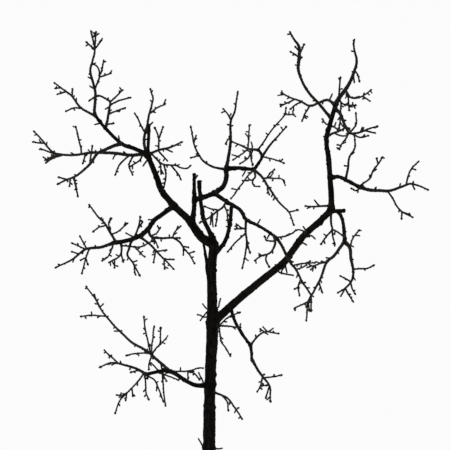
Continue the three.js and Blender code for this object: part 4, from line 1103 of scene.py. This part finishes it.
# %% Twigs of every part
SPRAY_SEED, LONE_SKIN_SEED = 401, 501
LONE_TAPER = (14, 12)  # thickness at the foot and at the tip, in millimetres
PARTS = {"low": ("low_left", "low_right", "trunk"), "left": ("left_leader", "upper_left"),
         "under": ("lower_left",), "centre": ("centre_bough", "centre_arm", "centre_outer"),
         "right": ("right_bough", "right_leader", "right_outer", "right_droop")}
part_of = {bough: part for part, group in PARTS.items() for bough in group}
part_of |= {name: part_of.get(limb["on"], "left") for name, limb in limbs.items() if name not in part_of}
wood = {part: Gathered() for part in PARTS}
bud_rows = {part: [] for part in PARTS}
for i, name in enumerate(SPRAYS):
    limb, draw, part = limbs[name], seeded_draws(SPRAY_SEED + i), part_of[name]
    rows, joined = bud_rows[part], wood[part]
    stem = twig_surface(joined, limb["points"], stem_radius(limb, STOUT[part]), draw, **STEM)
    bud_row(rows, stem, **STEM_BUDS)
    bud_cluster(rows, stem, draw, **STEM_END)
    for points in twigs[name]:
        shoot = twig_surface(joined, points, even_radius(*SHOOT_TAPER, STOUT[part]), draw, **SHOOT)
        bud_row(rows, shoot, **SHOOT_BUDS)
        bud_cluster(rows, shoot, draw, **SHOOT_END)
    for points in spurs[name] + fine[name]:
        spur = twig_surface(joined, points, even_radius(*SPUR_TAPER, STOUT[part]), draw, **SPUR)
        bud_cluster(rows, spur, draw, beside=int(draw(*BESIDE_SPUR)), **SPUR_END)
for i, name in enumerate(lone):
    part, draw = part_of[name], seeded_draws(LONE_SKIN_SEED + i)
    for points in lone[name]:
        radius = even_radius(*LONE_TAPER, STOUT[part])
        spur = twig_surface(wood[part], points, radius, draw, **LONE_SPUR)
        bud_cluster(bud_rows[part], spur, draw, beside=1, **SPUR_END)

twig_pieces = {part: joined.piece("twigs_" + part, twig_barks[part]) for part, joined in wood.items()}

# %% [markdown]
# ## Buds
# All buds are one small surface, a drop with overlapping scales, that is turned and scaled to every place
# at once.

# %% Buds
BUD_RINGS, BUD_SIDES = 6, 7
BUD_GRAIN = 0.012  # metres of grain for a bud's width or length
BUD_OFF_AXIS = (0.37, 0.61, 0.70)  # a direction that no bud lies along, to measure turns from


def bud_pattern():
    """A drop of unit width and length: radius = 0.5 sin(pi t^0.72)^0.75, with three spirals of scales."""
    t = np.linspace(0.06, 0.94, BUD_RINGS)[:, None]
    around = (np.arange(BUD_SIDES) * 2 * math.pi / BUD_SIDES)[None]
    scales = 0.5 + 0.5 * np.cos(3 * around + 9 * t)
    radius = 0.5 * np.sin(math.pi * t**0.72) ** 0.75 * (0.93 + 0.10 * scales)
    points = np.stack([radius * np.cos(around), radius * np.sin(around), t + 0 * around], axis=-1)
    poles, pole_relief = [[0, 0, 0], [0, 0, 1]], [0.2, 0.9]
    return np.concatenate([points.reshape(-1, 3), poles]), np.concatenate([scales.ravel(), pole_relief])


def buds_piece(name, rows):
    """Every place of the pattern becomes base + wide (x side + y third) + long z aim."""
    shape, scales = bud_pattern()
    base, aim = np.array([row[0] for row in rows]), np.array([row[1] for row in rows])
    wide, long = np.array([row[2] for row in rows]), np.array([row[3] for row in rows])
    side = np.cross(aim, BUD_OFF_AXIS)
    side /= np.linalg.norm(side, axis=1, keepdims=True)
    third = np.cross(aim, side)
    x, y, z = (shape[None, :, k, None] for k in range(3))
    across = wide[:, None, None] * (x * side[:, None] + y * third[:, None])
    points = base[:, None] + across + long[:, None, None] * z * aim[:, None]
    quads, fans = closed_faces(BUD_RINGS, BUD_SIDES)
    step = (np.arange(len(rows)) * len(shape))[:, None, None]
    gathered = Gathered()
    grain = shape[None] * BUD_GRAIN + base[:, None]
    gathered.add(points, quads[None] + step, fans[None] + step, grain, np.tile(scales, len(rows)))
    return gathered.piece(name, bud_skin)


bud_pieces = {part: buds_piece("buds_" + part, rows) for part, rows in bud_rows.items()}
print(sum(map(len, bud_rows.values())), "buds")

# %% [markdown]
# ## What each piece stands for
# A new piece rides on the tree's one body and takes the place of the plain solids that it dresses.

# %% Join the pieces to the frame
for name, piece in bark_pieces.items():
    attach(piece, "root")
    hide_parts(name)
for part in PARTS:
    nodes = [name for name in SPRAYS if part_of[name] == part]
    for piece in (twig_pieces[part], bud_pieces[part]):
        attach(piece, "root")
        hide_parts(*nodes)
print(len(bark_pieces) + len(twig_pieces) + len(bud_pieces), "pieces ride on the tree")
